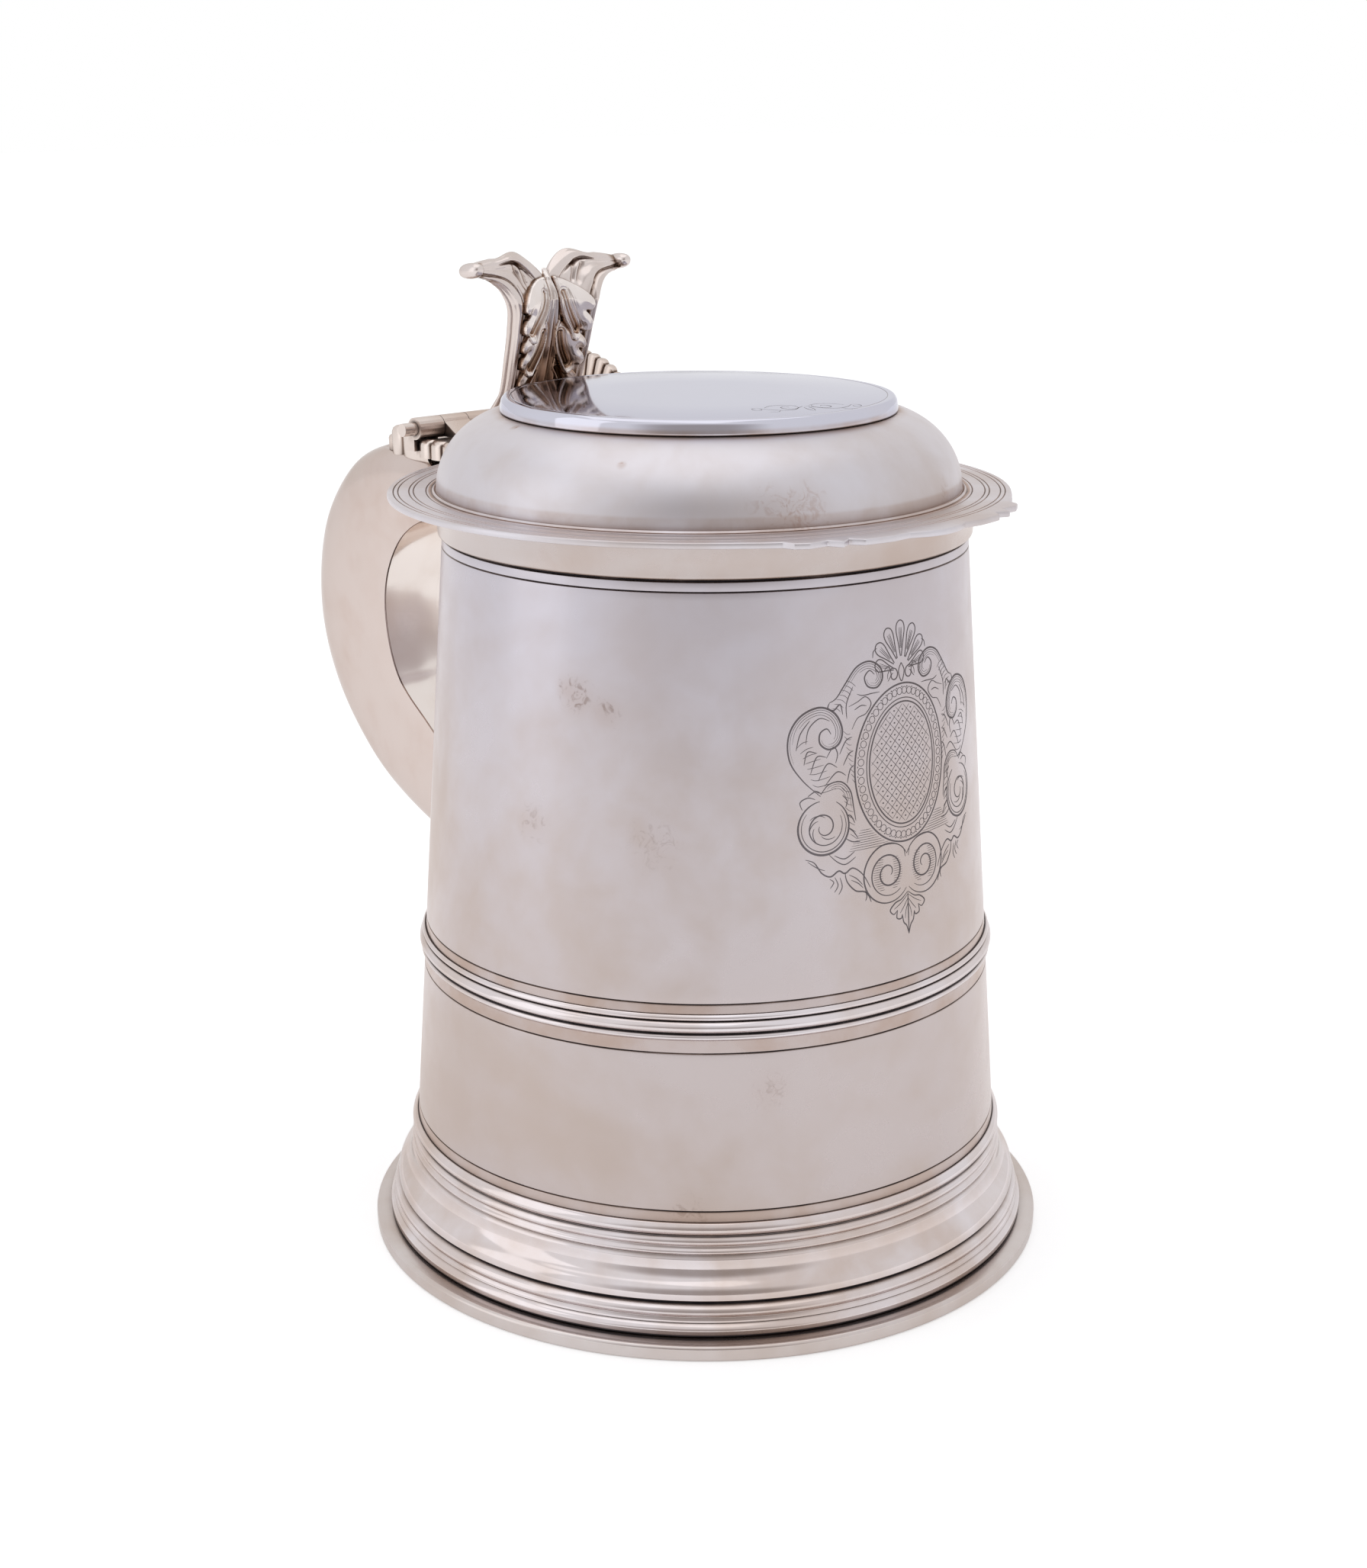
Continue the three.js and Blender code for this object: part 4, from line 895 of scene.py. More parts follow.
def thumb_half(side):
    t = np.linspace(0, 1, 190)
    outer, inner = spline(THUMB_OUTER, t), spline(THUMB_INNER, t)
    scale = np.array([THUMB_HALF, THUMB_H])
    base = np.array([0, THUMB_LOW])
    sections, shades = [], []
    ease = np.linspace(0, 1, 84)
    across = 0.5 * (1 - np.cos(np.pi * ease)) * 0.4 + ease * 0.6
    for s, o, i in zip(t, outer * scale + base, inner * scale + base):
        tip = step_up(s, 0.9, 0.1)
        middle = (o + i) / 2
        o, i = o + (middle - o) * tip * 0.55, i + (middle - i) * tip * 0.55
        span = i - o
        size = max(np.hypot(*span), 0.5)
        p = o[None] + span[None] * across[:, None]
        y, z = np.maximum(p[:, 0], -0.05), p[:, 1]
        up = (z - THUMB_LOW) / THUMB_H
        deep = THUMB_FOOT + (THUMB_T - THUMB_FOOT) * np.clip(up / 0.25, 0, 1) - step_up(up, 0.8, 0.2) * 1.2
        d, e = across * size, (1 - across) * size
        narrow = min(1.0, size / 9)
        soft = np.clip(d / 0.5, 0, 1)
        relief = 0.4 * quarter_round(soft)
        top = step_up(s, 0.6, 0.12)
        high = step_up(s, 0.3, 0.3)
        band = 1.7 * narrow
        relief = relief - high * 0.3 * arch(d, band)
        border = (0.3 + 0.15 * high) * bell(d - band, 0.1, 0.26)
        relief = relief + border + 0.3 * (1 - high) * bell(d, 0.95, 0.22)
        roll = np.clip(e / 0.6, 0, 1)
        relief = relief + top * 0.5 * quarter_round(roll)
        inward = step_down(y, 12.4, 3.0) * narrow
        brow = 2.3 * narrow
        relief = relief - top * inward * 0.75 * arch(e, brow)
        crease = top * inward * 0.5 * bell(e - brow, 0.15, 0.3)
        relief = relief + crease
        middle_fade = step_up(across, 0.22, 0.15) * step_down(across, 0.8, 0.15)
        relief = relief + top * narrow * middle_fade * 0.22 * np.cos(across * TAU * 4)
        zz = z - THUMB_LOW
        flutes = 0 * y
        for start, end in (((8.6, 34.4), (6.7, 30.2)), ((7.0, 34.8), (5.6, 30.5))):
            flutes = flutes + cut_line(y, zz, start, end, 0.42, 0.5)
        relief = relief + flutes
        front = thumb_front(z) + relief + dish(y, z)
        back_soft = np.clip(d / 0.9, 0, 1)
        back = thumb_front(z) + deep - 0.7 * quarter_round(back_soft)
        ridge = 0.25 * bell(d, 1.6, 0.3)
        back = np.maximum(back - ridge, front + 1.25 - 0.9 * (1 - soft))
        back = back + (front + 1.3 - back) * step_up(s, 0.86, 0.12)
        outward = -span / max(np.hypot(*span), 1e-6)
        row = [(a, side * b, c) for a, b, c in zip(front, y, z)]
        curl = step_up(s, 0.93, 0.05)
        # Painted shade in the recessed border, crease and flute channels, and beside the roll.
        shade = np.clip(0.3 * border / 0.4 + 0.55 * crease + 0.5 * flutes + curl, 0, 1).tolist()
        for f in np.linspace(0.1, 0.9, 9):
            bulge = top * (1 - tip) * 0.35 * math.sin(math.pi * f)
            row.append((front[-1] + (back[-1] - front[-1]) * f, side * max(y[-1] - outward[0] * bulge, -0.05),
                z[-1] - outward[1] * bulge))
            shade.append(0)
        row += [(a, side * b, c) for a, b, c in zip(back[::-1], y[::-1], z[::-1])]
        shade += [float(curl)] * len(y)
        fade = 1 - step_up(s, 0.8, 0.1)
        # Painted shade on the wing's under edge near the roll.
        under = step_up(s, 0.82, 0.06) * 0.75
        for f in np.linspace(0.06, 0.94, 19):
            bulge = fade * (0.5 * abs(math.sin(2 * math.pi * (0.08 + 0.92 * f) ** 0.9)) ** 0.7 - 0.1)
            row.append((back[0] + (front[0] - back[0]) * f, side * (y[0] + outward[0] * bulge),
                z[0] + outward[1] * bulge))
            shade.append(float(under * (f < 0.85)))
        sections.append(row)
        shades.append(shade)
    return np.array(sections), np.array(shades)


def thumb_roll(side):
    z = THUMB_LOW + THUMB_H * 0.93
    y = side * (THUMB_HALF * 0.98 + 0.2)
    x = float(thumb_front(z)) + float(dish(THUMB_HALF, z)) + 0.8
    rings = []
    for turn in np.linspace(0.02, math.pi - 0.02, 30):
        reach = -math.cos(turn)
        r = 1.5 * math.sin(turn) ** 0.55
        rings.append([(x + 2.9 * reach, y + r * math.cos(a),
            z - 0.25 * reach + r * math.sin(a)) for a in np.linspace(0, TAU, 32, endpoint=False)])
    return np.array(rings), np.zeros((30, 32))


# Keeps the rounded top of the thumbpiece within the CAD part's height
SQUEEZE = 0.9915


def thumbpiece():
    points, faces, shades = [], [], []
    for shape, shade in (thumb_half(1), thumb_half(-1), thumb_roll(1), thumb_roll(-1)):
        shape[..., 2] = THUMB_LOW + (shape[..., 2] - THUMB_LOW) * SQUEEZE
        shape = clear_of_dome(shape)
        nu, nv = shape.shape[:2]
        start = len(points)
        points += shape.reshape(-1, 3).tolist()
        shades += shade.ravel().tolist()
        faces += [tuple(start + k for k in f) for f in grid_faces(nu, nv, False, True)]
        faces.append(tuple(start + k for k in range(nv)))
        faces.append(tuple(start + (nu - 1) * nv + k for k in range(nv)))
    finish_mesh("thumb_plate", points, faces, "lid", cast_silver, "thumbpiece", 50, shades)


thumbpiece()

# Lobes of the leaf on one side, from the top: the outer outline down to the tip and the inner rim back up,
# the line of the scoop between them, and the height at the root and at the tip
LOBES = [
    (
        [(1.3, 31.6), (3.4, 31.1), (5.6, 30.0), (7.5, 28.6), (8.8, 27.0), (9.0, 25.7), (8.3, 24.9), (7.3, 24.9),
        (8.3, 23.8), (8.9, 22.5), (8.6, 21.3), (7.7, 20.8), (6.8, 21.2), (6.7, 20.1), (5.8, 19.0), (4.8, 19.4)],
        [(4.1, 21.2), (3.0, 22.8), (2.1, 24.6), (1.55, 26.4), (1.3, 28.6), (1.2, 30.4)],
        [(2.6, 28.6), (3.2, 26.2), (4.3, 24.0), (5.8, 21.6)], 0.9, 2.0,
    ),
    (
        [(1.6, 23.4), (4.0, 22.4), (6.2, 21.1), (7.8, 19.7), (8.4, 18.3), (7.9, 17.4), (7.0, 17.5), (7.9, 16.4),
        (8.2, 15.1), (7.5, 14.2), (6.6, 14.5), (6.2, 13.4), (5.2, 12.5), (4.3, 12.9)],
        [(3.2, 14.6), (2.2, 16.4), (1.5, 18.2), (1.1, 20.0), (1.1, 22.0)],
        [(2.3, 20.8), (2.8, 18.8), (3.6, 17.0), (4.9, 14.8)], 0.7, 1.85,
    ),
    (
        [(1.8, 16.0), (3.8, 15.0), (6.0, 13.8), (7.4, 12.4), (7.6, 11.0), (6.8, 10.2), (6.2, 9.2), (5.2, 8.8),
        (4.6, 9.4)],
        [(3.6, 10.8), (2.8, 12.2), (1.8, 13.8)],
        [(3.0, 13.8), (3.8, 12.4), (4.8, 10.8)], 0.6, 1.6,
    ),
]


def to_polyline(shape, y, z):
    """Distance to a polyline, share of the way along it, and the side that the place lies on."""
    d = np.full(y.shape, 99.0)
    s = np.zeros(y.shape)
    sign = np.zeros(y.shape)
    for k in range(len(shape) - 1):
        a, ab = shape[k], shape[k + 1] - shape[k]
        t = np.clip(((y - a[0]) * ab[0] + (z - a[1]) * ab[1]) / max(ab @ ab, 1e-9), 0, 1)
        dy, dz = y - a[0] - t * ab[0], z - a[1] - t * ab[1]
        dist = np.hypot(dy, dz)
        near = dist < d
        d = np.where(near, dist, d)
        s = np.where(near, (k + t) / (len(shape) - 1), s)
        sign = np.where(near, np.sign(ab[0] * dz - ab[1] * dy), sign)
    return d, s, sign


def inside_outline(shape, y, z):
    inside = np.zeros(y.shape, bool)
    for k in range(len(shape)):
        (y0, z0), (y1, z1) = shape[k - 1], shape[k]
        if z0 == z1:
            continue
        crosses = ((z0 > z) != (z1 > z)) & (y < (y1 - y0) * (z - z0) / (z1 - z0) + y0)
        inside ^= crosses
    return inside


def blurred(field, radius):
    for axis in (0, 1):
        pad = [(0, 0), (0, 0)]
        pad[axis] = (radius + 1, radius)
        total = np.cumsum(np.pad(field, pad, mode="edge"), axis=axis)
        size = field.shape[axis]
        high = np.take(total, range(2 * radius + 1, 2 * radius + 1 + size), axis=axis)
        low = np.take(total, range(0, size), axis=axis)
        field = (high - low) / (2 * radius + 1)
    return field


def leaf():
    step = 0.1
    ys = np.arange(-9.7, 9.7 + step / 2, step)
    zs = np.arange(8.0, 33.6, step)
    Y, Z = np.meshgrid(ys, zs, indexing="ij")
    side = np.abs(Y) / 0.94
    height = np.full(Y.shape, -1.0)
    reach = 36.5 - Z
    fan = np.arctan2(Y, reach)
    stem_half = 0.19 - 0.05 * step_up(Z, 20, 10)
    stem = 0.75 - 0.5 * (fan / stem_half) ** 2 + 0.17 * np.cos(fan * TAU / 0.094) * step_down(Z, 33, 4)
    stem = stem + 0.45 * bell(Z, 29, 2.5)
    taper = step_down(Z, 33.0, 1.5)
    height = np.where((np.abs(fan) < stem_half) & (taper > 0), stem * taper, height)
    for outer, inner, scoop, low, high in LOBES[::-1]:
        edge_outer = spline(outer, np.linspace(0, 1, 110))
        edge_inner = spline([outer[-1], *inner, outer[0]], np.linspace(0, 1, 50))
        outline = np.concatenate([edge_outer, edge_inner[1:]])
        d, _, _ = to_polyline(outline, side, Z)
        within = inside_outline(outline, side, Z)
        d_in, _, _ = to_polyline(edge_inner, side, Z)
        d_scoop, _, at_side = to_polyline(spline(scoop, np.linspace(0, 1, 30)), side, Z)
        top, bottom = outer[0][1], outer[-1][1]
        along = np.clip((top - Z) / (top - bottom), 0, 1)
        lift = low + (high - low) * along**1.3
        curl = 0.5 * step_up(side, 5.5, 3) * (1 - along)
        hollow = (0.4 + 1.3 * along) * np.exp(-((d_scoop / (0.8 + 0.5 * along)) ** 2))
        hollow = hollow * np.clip(d_in / 0.6, 0, 1)
        pillow = 0.6 * (1 - np.exp(-((d / 1.2) ** 2)))
        veins = 0.13 * np.cos(d_scoop * at_side * TAU / 0.62) * np.clip(d / 0.5, 0, 1)
        veins = veins * np.exp(-((d_scoop / 1.25) ** 4))
        rim = 0.3 * bell(d_in, 0.3, 0.25)
        shape = lift + curl - hollow + pillow + veins + rim
        round_off = np.clip(d / 0.32, 0, 1)
        shape = shape - 0.45 * quarter_round(round_off)
        height = np.where(within, np.maximum(shape, 0.15), height)
    keep = height > -0.5
    ground = np.maximum(height, -0.25)
    # Painted shade in the leaf's hollows and at its low root, and brown tarnish with painted shade in its deep
    # lower parts.
    cavity_shade = np.clip((blurred(ground, 10) - ground) / 1.1, 0, 1)
    cavity_shade = cavity_shade + np.clip((blurred(ground, 2) - ground) / 0.2, 0, 1) * 0.4
    tarnish = step_down(Z, 26, 9) * np.clip(1.7 - ground, 0, 1) * 0.6
    root_shade = step_down(Z, 17, 7) * step_down(ground, 0.75, 0.6) * 0.6
    dark = np.clip(cavity_shade * 0.85 + tarnish + root_shade, 0, 1)
    x = thumb_front(Z + THUMB_LOW) + dish(Y, Z + THUMB_LOW) - ground
    points = np.stack([x, Y, Z + THUMB_LOW], -1)
    faces = []
    index = np.arange(Y.size).reshape(Y.shape)
    cell = keep[:-1, :-1] | keep[1:, :-1] | keep[:-1, 1:] | keep[1:, 1:]
    for i, j in zip(*np.nonzero(cell)):
        faces.append((index[i, j], index[i, j + 1], index[i + 1, j + 1], index[i + 1, j]))
    used = np.unique(np.array(faces))
    renumber = np.full(Y.size, -1)
    renumber[used] = np.arange(len(used))
    faces = [tuple(int(renumber[k]) for k in f) for f in faces]
    placed = clear_of_dome(points.reshape(-1, 3)[used])
    finish_mesh("thumb_leaf", placed, faces, "lid", leaf_silver, "thumbpiece_leaf", 60,
        dark.ravel()[used])


leaf()

# ---------------------------------------------------------------- engraving

strokes = []


def stroke(points, width):
    """Keeps a line for ribbons(). A width below zero is for a line that doesn't thin out at its ends."""
    strokes.append((points, width))


def spiral(centre, r0, r1, a0, a1, count=40):
    a = np.radians(np.linspace(a0, a1, count))
    r = np.linspace(r0, r1, count)
    return [(centre[0] + q * math.cos(t), centre[1] + q * math.sin(t)) for q, t in zip(r, a)]


def both_sides(points, width):
    stroke(points, width)
    stroke([(-u, v) for u, v in points], width)


def shaded(points, width, offsets, spread=0.42):
    """A main line with finer and shorter ones beside it."""
    both_sides(points, width)
    fine = spline(points, np.linspace(0, 1, 60))
    run = np.gradient(fine, axis=0)
    normal = np.stack([-run[:, 1], run[:, 0]], -1) / np.hypot(run[:, 0], run[:, 1])[:, None]
    for k in range(1, abs(offsets) + 1):
        off = fine + normal * math.copysign(spread * k, offsets)
        cut = slice(4 + 4 * k, 56 - 6 * k)
        both_sides([tuple(q) for q in off[cut][::3]], 0.09)


def each(width, *lines):
    for points in lines:
        both_sides(points, width)


def hatch(count, width, *ends):
    """Fine lines side by side; each end is where it starts and how far it moves from the first to the last."""
    for k in range(count):
        t = k / (count - 1)
        both_sides([(u + du * t, v + dv * t) for u, v, du, dv in ends], width)


def cartouche():
    oval = 101.0
    for a, b, width in ((11.2, 14.0, 0.3), (8.7, 11.45, 0.17), (8.1, 10.8, 0.26)):
        angle = np.linspace(0, TAU, 90)
        stroke([(a * math.cos(t), oval + b * math.sin(t)) for t in angle], -width)
    count = 50
    for k in range(count):
        t = TAU * k / count
        u, v = 9.95 * math.cos(t), oval + 12.72 * math.sin(t)
        stroke([(u + 0.62 * math.cos(q), v + 0.62 * math.sin(q)) for q in np.linspace(0, TAU, 13)], -0.11)
        t += TAU / count / 2
        u, v = 10.7 * math.cos(t), oval + 13.5 * math.sin(t)
        stroke([(u * 0.985, oval + (v - oval) * 0.985), (u, v)], -0.26)
    for slope in (1, -1):
        for k in range(-12, 13):
            # where the lattice line v = slope * u + c meets the field's edge
            a, b, c = 7.7, 10.4, k * 2.1
            qa, qb, qc = b * b + a * a * slope * slope, 2 * a * a * slope * c, a * a * (c * c - b * b)
            root = qb * qb - 4 * qa * qc
            if root <= 0:
                continue
            u0, u1 = (-qb - math.sqrt(root)) / (2 * qa), (-qb + math.sqrt(root)) / (2 * qa)
            stroke([(u0, oval + slope * u0 + c), (u1, oval + slope * u1 + c)], 0.1)
    for i in range(-8, 9):
        for j in range(-8, 9):
            u, v = (i - j) * 1.05, (i + j + 1) * 1.05
            if (u / 7.2) ** 2 + (v / 9.9) ** 2 < 1:
                stroke([(u - 0.16, oval + v), (u + 0.16, oval + v)], -0.24)
    # large scrolls at the sides
    shaded([(-18, 97.7), (-21.3, 100.8), (-23.6, 104.4), (-23.7, 108.6), (-21.6, 111.8), (-18, 113.1),
        (-15, 111.8), (-13.6, 109), (-14.2, 106.6), (-16.2, 105.7), (-17.9, 106.8), (-17.9, 108.6),
        (-16.6, 109.3), (-15.8, 108.3)], 0.36, -3)
    each(
        0.19,
        [(-21, 103.4), (-20.3, 105.6), (-18.6, 105.3)], [(-19.8, 101.8), (-18.6, 104.6), (-16.8, 104.4)],
        [(-18.4, 100.4), (-16.6, 103.2), (-14.7, 102.4)], [(-17.2, 99.4), (-14.8, 101.6), (-13, 100.8)],
        [(-20.6, 107), (-20, 109.6), (-18, 111.2), (-16, 110.6)],
        [(-14.2, 104.6), (-12.9, 106.8), (-11.6, 107.3)], [(-13.5, 102.6), (-12.4, 104.4), (-11.4, 104.9)],
        [(-12.8, 99.4), (-12.2, 101.6), (-11.4, 102.4)],
        [(-16.8, 104.2), (-15.4, 106), (-14.6, 104.8), (-15, 103.2)],
        [(-22.4, 106), (-21.6, 108.8), (-19.8, 111)],
    )
    for k in range(9):
        t = k / 8
        root = (-22.4 + 3.2 * t**0.7, 106.4 - 7.4 * t)
        both_sides([root, (root[0] + 1.2, root[1] + 0.9 - 0.2 * k),
            (root[0] + 2.2 + 0.25 * k, root[1] + 1.1 - 0.16 * k)], 0.11)
    hatch(7, 0.1, (-15.6, 112.6, 3.0, 4.6), (-14.5, 112.5, 3.0, 4.2), (-13.8, 111.9, 3.2, 4.0))
    hatch(8, 0.1, (-13.9, 98.8, 1.5, -8.4), (-13.2, 98.1, 1.5, -8.2), (-12.1, 97.8, 1.0, -8.4))
    hatch(10, 0.09, (-13.4, 108.6, 1.6, -8.6), (-12.6, 107.9, 1.2, -8.4), (-11.9, 107.9, 0.8, -8.8))
    # scrolls beside the shell
    shaded([(-16, 113.7), (-14.6, 114.4), (-12.8, 116.6), (-10.4, 119.2), (-7.6, 119.9), (-5.2, 118.6),
        (-4.7, 116.6), (-6, 115.2), (-8, 115.6), (-8.7, 117.2), (-7.6, 118.3), (-6.5, 117.5)], 0.32, -3, 0.4)
    both_sides([(-16, 113.7), (-16.3, 112.8), (-15.2, 112.3), (-13.9, 113.2), (-13.4, 111.4)], 0.26)
    each(
        0.18,
        [(-12.6, 110.6), (-12.6, 113.2), (-11.2, 116)],
        [(-12.2, 112.6), (-10.4, 113.2), (-8.6, 113.9), (-7.4, 112.6), (-8.6, 111), (-10.4, 110.4),
        (-11.6, 108.6)],
        [(-11, 111.9), (-9.6, 112.5), (-8.4, 112.3)],
        [(-4.4, 117.6), (-3.2, 118.4), (-2.6, 116.9), (-3.4, 115.8)],
        [(-10.4, 114.6), (-9.2, 114.2), (-7, 114.3), (-5.4, 114.3)],
        [(-6.8, 120.3), (-6.6, 121.4), (-5.8, 121.9)],
    )
    # shell
    for k in range(-3, 4):
        lean = math.radians(24 * k)
        long = (8.9, 8.6, 8.0, 6.6)[abs(k)]
        out = []
        for share, off in ((0.3, -0.12), (0.55, -0.55), (0.8, -1.05), (0.94, -0.85), (1.0, 0), (0.94, 0.85),
            (0.8, 1.05), (0.55, 0.55), (0.3, 0.12)):
            out.append((long * share * math.sin(lean) + off * math.cos(lean),
                117.1 + long * share * math.cos(lean) - off * math.sin(lean)))
        stroke(out, -0.2)
        for off in (-0.35, 0.05, 0.4):
            inner = [(long * q * math.sin(lean) + off * q * math.cos(lean),
                117.1 + long * q * math.cos(lean) - off * q * math.sin(lean)) for q in (0.45, 0.65, 0.86)]
            stroke(inner, 0.1)
    both_sides(spiral((-2.0, 116.7), 1.5, 0.35, 200, -260), 0.22)
    stroke([(0, 118.6), (-0.7, 117.4), (-0.5, 116.2), (0, 115.4), (0.5, 116.2), (0.7, 117.4), (0, 118.6)],
        -0.18)
    # leaves and round scrolls below
    shaded([(-18, 98), (-16.4, 99.6), (-14, 99.8), (-12.2, 98), (-11.6, 95), (-11.2, 92.6)], 0.24, -3, 0.4)
    ring = (-17.5, 92.2)
    both_sides(spiral(ring, 4.9, 4.7, 60, -262), 0.38)
    both_sides(spiral(ring, 4.35, 4.1, 40, -220), 0.17)
    both_sides(spiral(ring, 3.7, 0.8, 30, -560), 0.24)
    for r, a in ((2.9, 200), (3.1, 250), (2.8, 320), (3.0, 150)):
        both_sides(spiral(ring, r, r - 1.3, a, a - 70, 8), 0.15)
    each(
        0.2,
        [(-21.4, 95.6), (-21.8, 97), (-20.4, 97.7), (-19, 97.3)], [(-20.4, 97.9), (-18.9, 98.7), (-17.8, 98.1)],
        [(-13, 93.8), (-12.2, 93.6), (-11.4, 92.2)],
        [(-12.9, 91.6), (-11.8, 90.8), (-10.8, 89.4)], [(-13.4, 89.8), (-12, 89), (-10.4, 88.8)],
        [(-13.2, 95.2), (-12.9, 96.4), (-13.8, 97.4)],
        [(-16.6, 87.3), (-15, 85.8), (-13.4, 85.2), (-11.4, 86.2)], [(-15.6, 87), (-13.6, 86.2), (-11.6, 87.2)],
    )
    # sprigs below
    both_sides([(-21, 86.9), (-19.4, 86.2), (-18, 84.2), (-16.4, 83.4), (-14.8, 84.2), (-13.6, 83.6),
        (-12, 84.3), (-10, 82.8), (-8.5, 80.2)], 0.28)
    both_sides([(-13.6, 83.8), (-13.2, 82), (-11.6, 80.2), (-9.8, 79.7), (-8.9, 78.8), (-8.4, 77.6)], 0.26)
    each(
        0.17,
        [(-20.6, 86.5), (-18.8, 85.2), (-17.4, 84.6)], [(-16.6, 83), (-15.8, 82.3), (-16.5, 81.3)],
        [(-15.6, 83.2), (-15, 81.7), (-15.7, 80.5)], [(-14.6, 83), (-14.2, 81.3), (-14.9, 80)],
        [(-12.8, 83.2), (-11.3, 82.3), (-10.1, 81)], [(-12.4, 82.2), (-11, 81.4), (-10, 80.4)],
        [(-9.6, 79.9), (-9.3, 78.8), (-9.6, 78)],
    )
    # a pair of volutes at the foot of the oval
    volute = (-4.5, 82.1)
    both_sides(spiral(volute, 5.45, 5.2, -40, -330), 0.28)
    both_sides(spiral(volute, 4.3, 0.7, -50, -760, 60), 0.3)
    both_sides([(-9.8, 81.4), (-9.4, 84.2), (-6.8, 86.9), (-3.2, 87.1), (-0.9, 85.9), (-0.4, 84.2)], 0.2)
    for k in range(14):
        v = 79.2 + 0.42 * k
        half = math.sqrt(max(0.1, 3.7**2 - (v - volute[1]) ** 2))
        both_sides([(volute[0] - half * 0.9, v), (volute[0] - 0.3 - half * 0.25, v)], 0.08)
        both_sides([(volute[0] + 0.3 + half * 0.25, v), (volute[0] + half * 0.9, v)], 0.08)
    for k in range(9):
        v = 87.3 + 0.42 * k
        edge = 11.4 * math.sqrt(max(0.0, 1 - ((v - oval) / 14.2) ** 2))
        both_sides([(-12.8 + 0.3 * k, v), (-edge - 0.3, v)], 0.09)
    # leaf drop
    stroke([(0, 77.6), (0, 74), (0, 70.3)], 0.24)
    each(
        0.24,
        [(0, 77.8), (-1.6, 76.7), (-3.1, 76.3), (-4.3, 75.2), (-3.5, 74.3), (-2.6, 74.9)],
        [(-2.6, 74.9), (-2.8, 73.5), (-1.8, 73.2), (-1.5, 73.9)],
        [(-1.5, 73.9), (-1.2, 72.4), (-0.5, 71.6), (0, 70)],
    )
    each(0.12, [(0, 77.3), (-1.8, 76), (-3.4, 75.2)], [(0, 76.6), (-1.1, 75.2), (-2, 74.2)],
        [(0, 75.8), (-0.6, 74.4), (-0.8, 73)])


def ribbons(name, place, body, stands_off):
    points, faces = [], []
    for line_points, width in strokes:
        even = width < 0
        width = abs(width)
        table = np.array(line_points, float)
        length = np.hypot(*np.diff(table, axis=0).T).sum()
        count = max(3, int(length / 0.22))
        t = np.linspace(0, 1, count)
        path = spline(table, t)
        run = np.gradient(path, axis=0)
        run /= np.maximum(np.hypot(run[:, 0], run[:, 1]), 1e-6)[:, None]
        normal = np.stack([-run[:, 1], run[:, 0]], -1)
        half = width / 2 * (np.ones(count) if even else 0.25 + 0.75 * np.sin(np.pi * t) ** 0.6)
        start = len(points)
        for p, n, h in zip(path, normal, half):
            points.append(place(*(p + n * h), stands_off))
            points.append(place(*(p - n * h), stands_off))
        for k in range(count - 1):
            a = start + 2 * k
            faces.append((a, a + 1, a + 3, a + 2))
    strokes.clear()
    mesh = bpy.data.meshes.new(name)
    mesh.from_pydata((np.array(points) * MM).tolist(), [], faces)
    mesh.materials.append(engraved)
    obj = link_object(name, mesh)
    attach(obj, body)


def on_drum(u, v, off):
    turn = u / drum_r(98.5)
    r = drum_r(v) + off
    return (-r * math.cos(turn), -r * math.sin(turn), v)


engraved = silver("engraved_lines", (112, 106, 110), (92, 84, 84), 0.45, patches=0.8, hollows=0.0, ripple=0.0)
cartouche()
ribbons("cartouche_engraving", on_drum, "tankard", 0.02)


def disc_flourish():
    """Small paired scrolls and a leaf on the disc, near its rim."""
    for flip in (1, -1):
        for points, width in (
            (spiral((3.0, 0.2), 1.9, 0.4, 220, -160), 0.14),
            ([(0.2, -0.4), (1.2, 0.6), (2.6, 2.1), (4.6, 2.4), (6.4, 1.4), (7.8, -0.2)], 0.14),
            (spiral((8.0, 0.9), 1.2, 0.3, -100, 230), 0.12),
            ([(1.0, -0.9), (2.8, -1.9), (5.0, -1.6), (6.6, -0.2)], 0.12),
            ([(5.0, 2.3), (5.8, 3.4), (7.2, 3.3)], 0.1),
            ([(0.4, 0.5), (0.5, 2.2), (0.1, 3.6)], 0.12),
        ):
            stroke([(u * flip * 1.12, v * 1.5) for u, v in points], width)


# The flourish: its direction from the disc's centre and its lean, in degrees, and its distance
FLOURISH_TURN, FLOURISH_LEAN, FLOURISH_OUT = 182.4, 28.7, 26.1


def on_disc(u, v, off):
    turn = math.radians(FLOURISH_TURN)
    lean = math.radians(FLOURISH_LEAN)
    out, along = FLOURISH_OUT + v * math.cos(lean) - u * math.sin(lean), u * math.cos(lean) + v * math.sin(lean)
    return (
        SHIFT + out * math.cos(turn) + along * math.sin(turn),
        out * math.sin(turn) - along * math.cos(turn),
        disc_top + off,
    )


disc_flourish()
ribbons("disc_engraving", on_disc, "lid", 0.015)

# ---------------------------------------------------------------- hollows: how closely each place is walled in


HOLLOW_RADII = (0.5, 1.8)


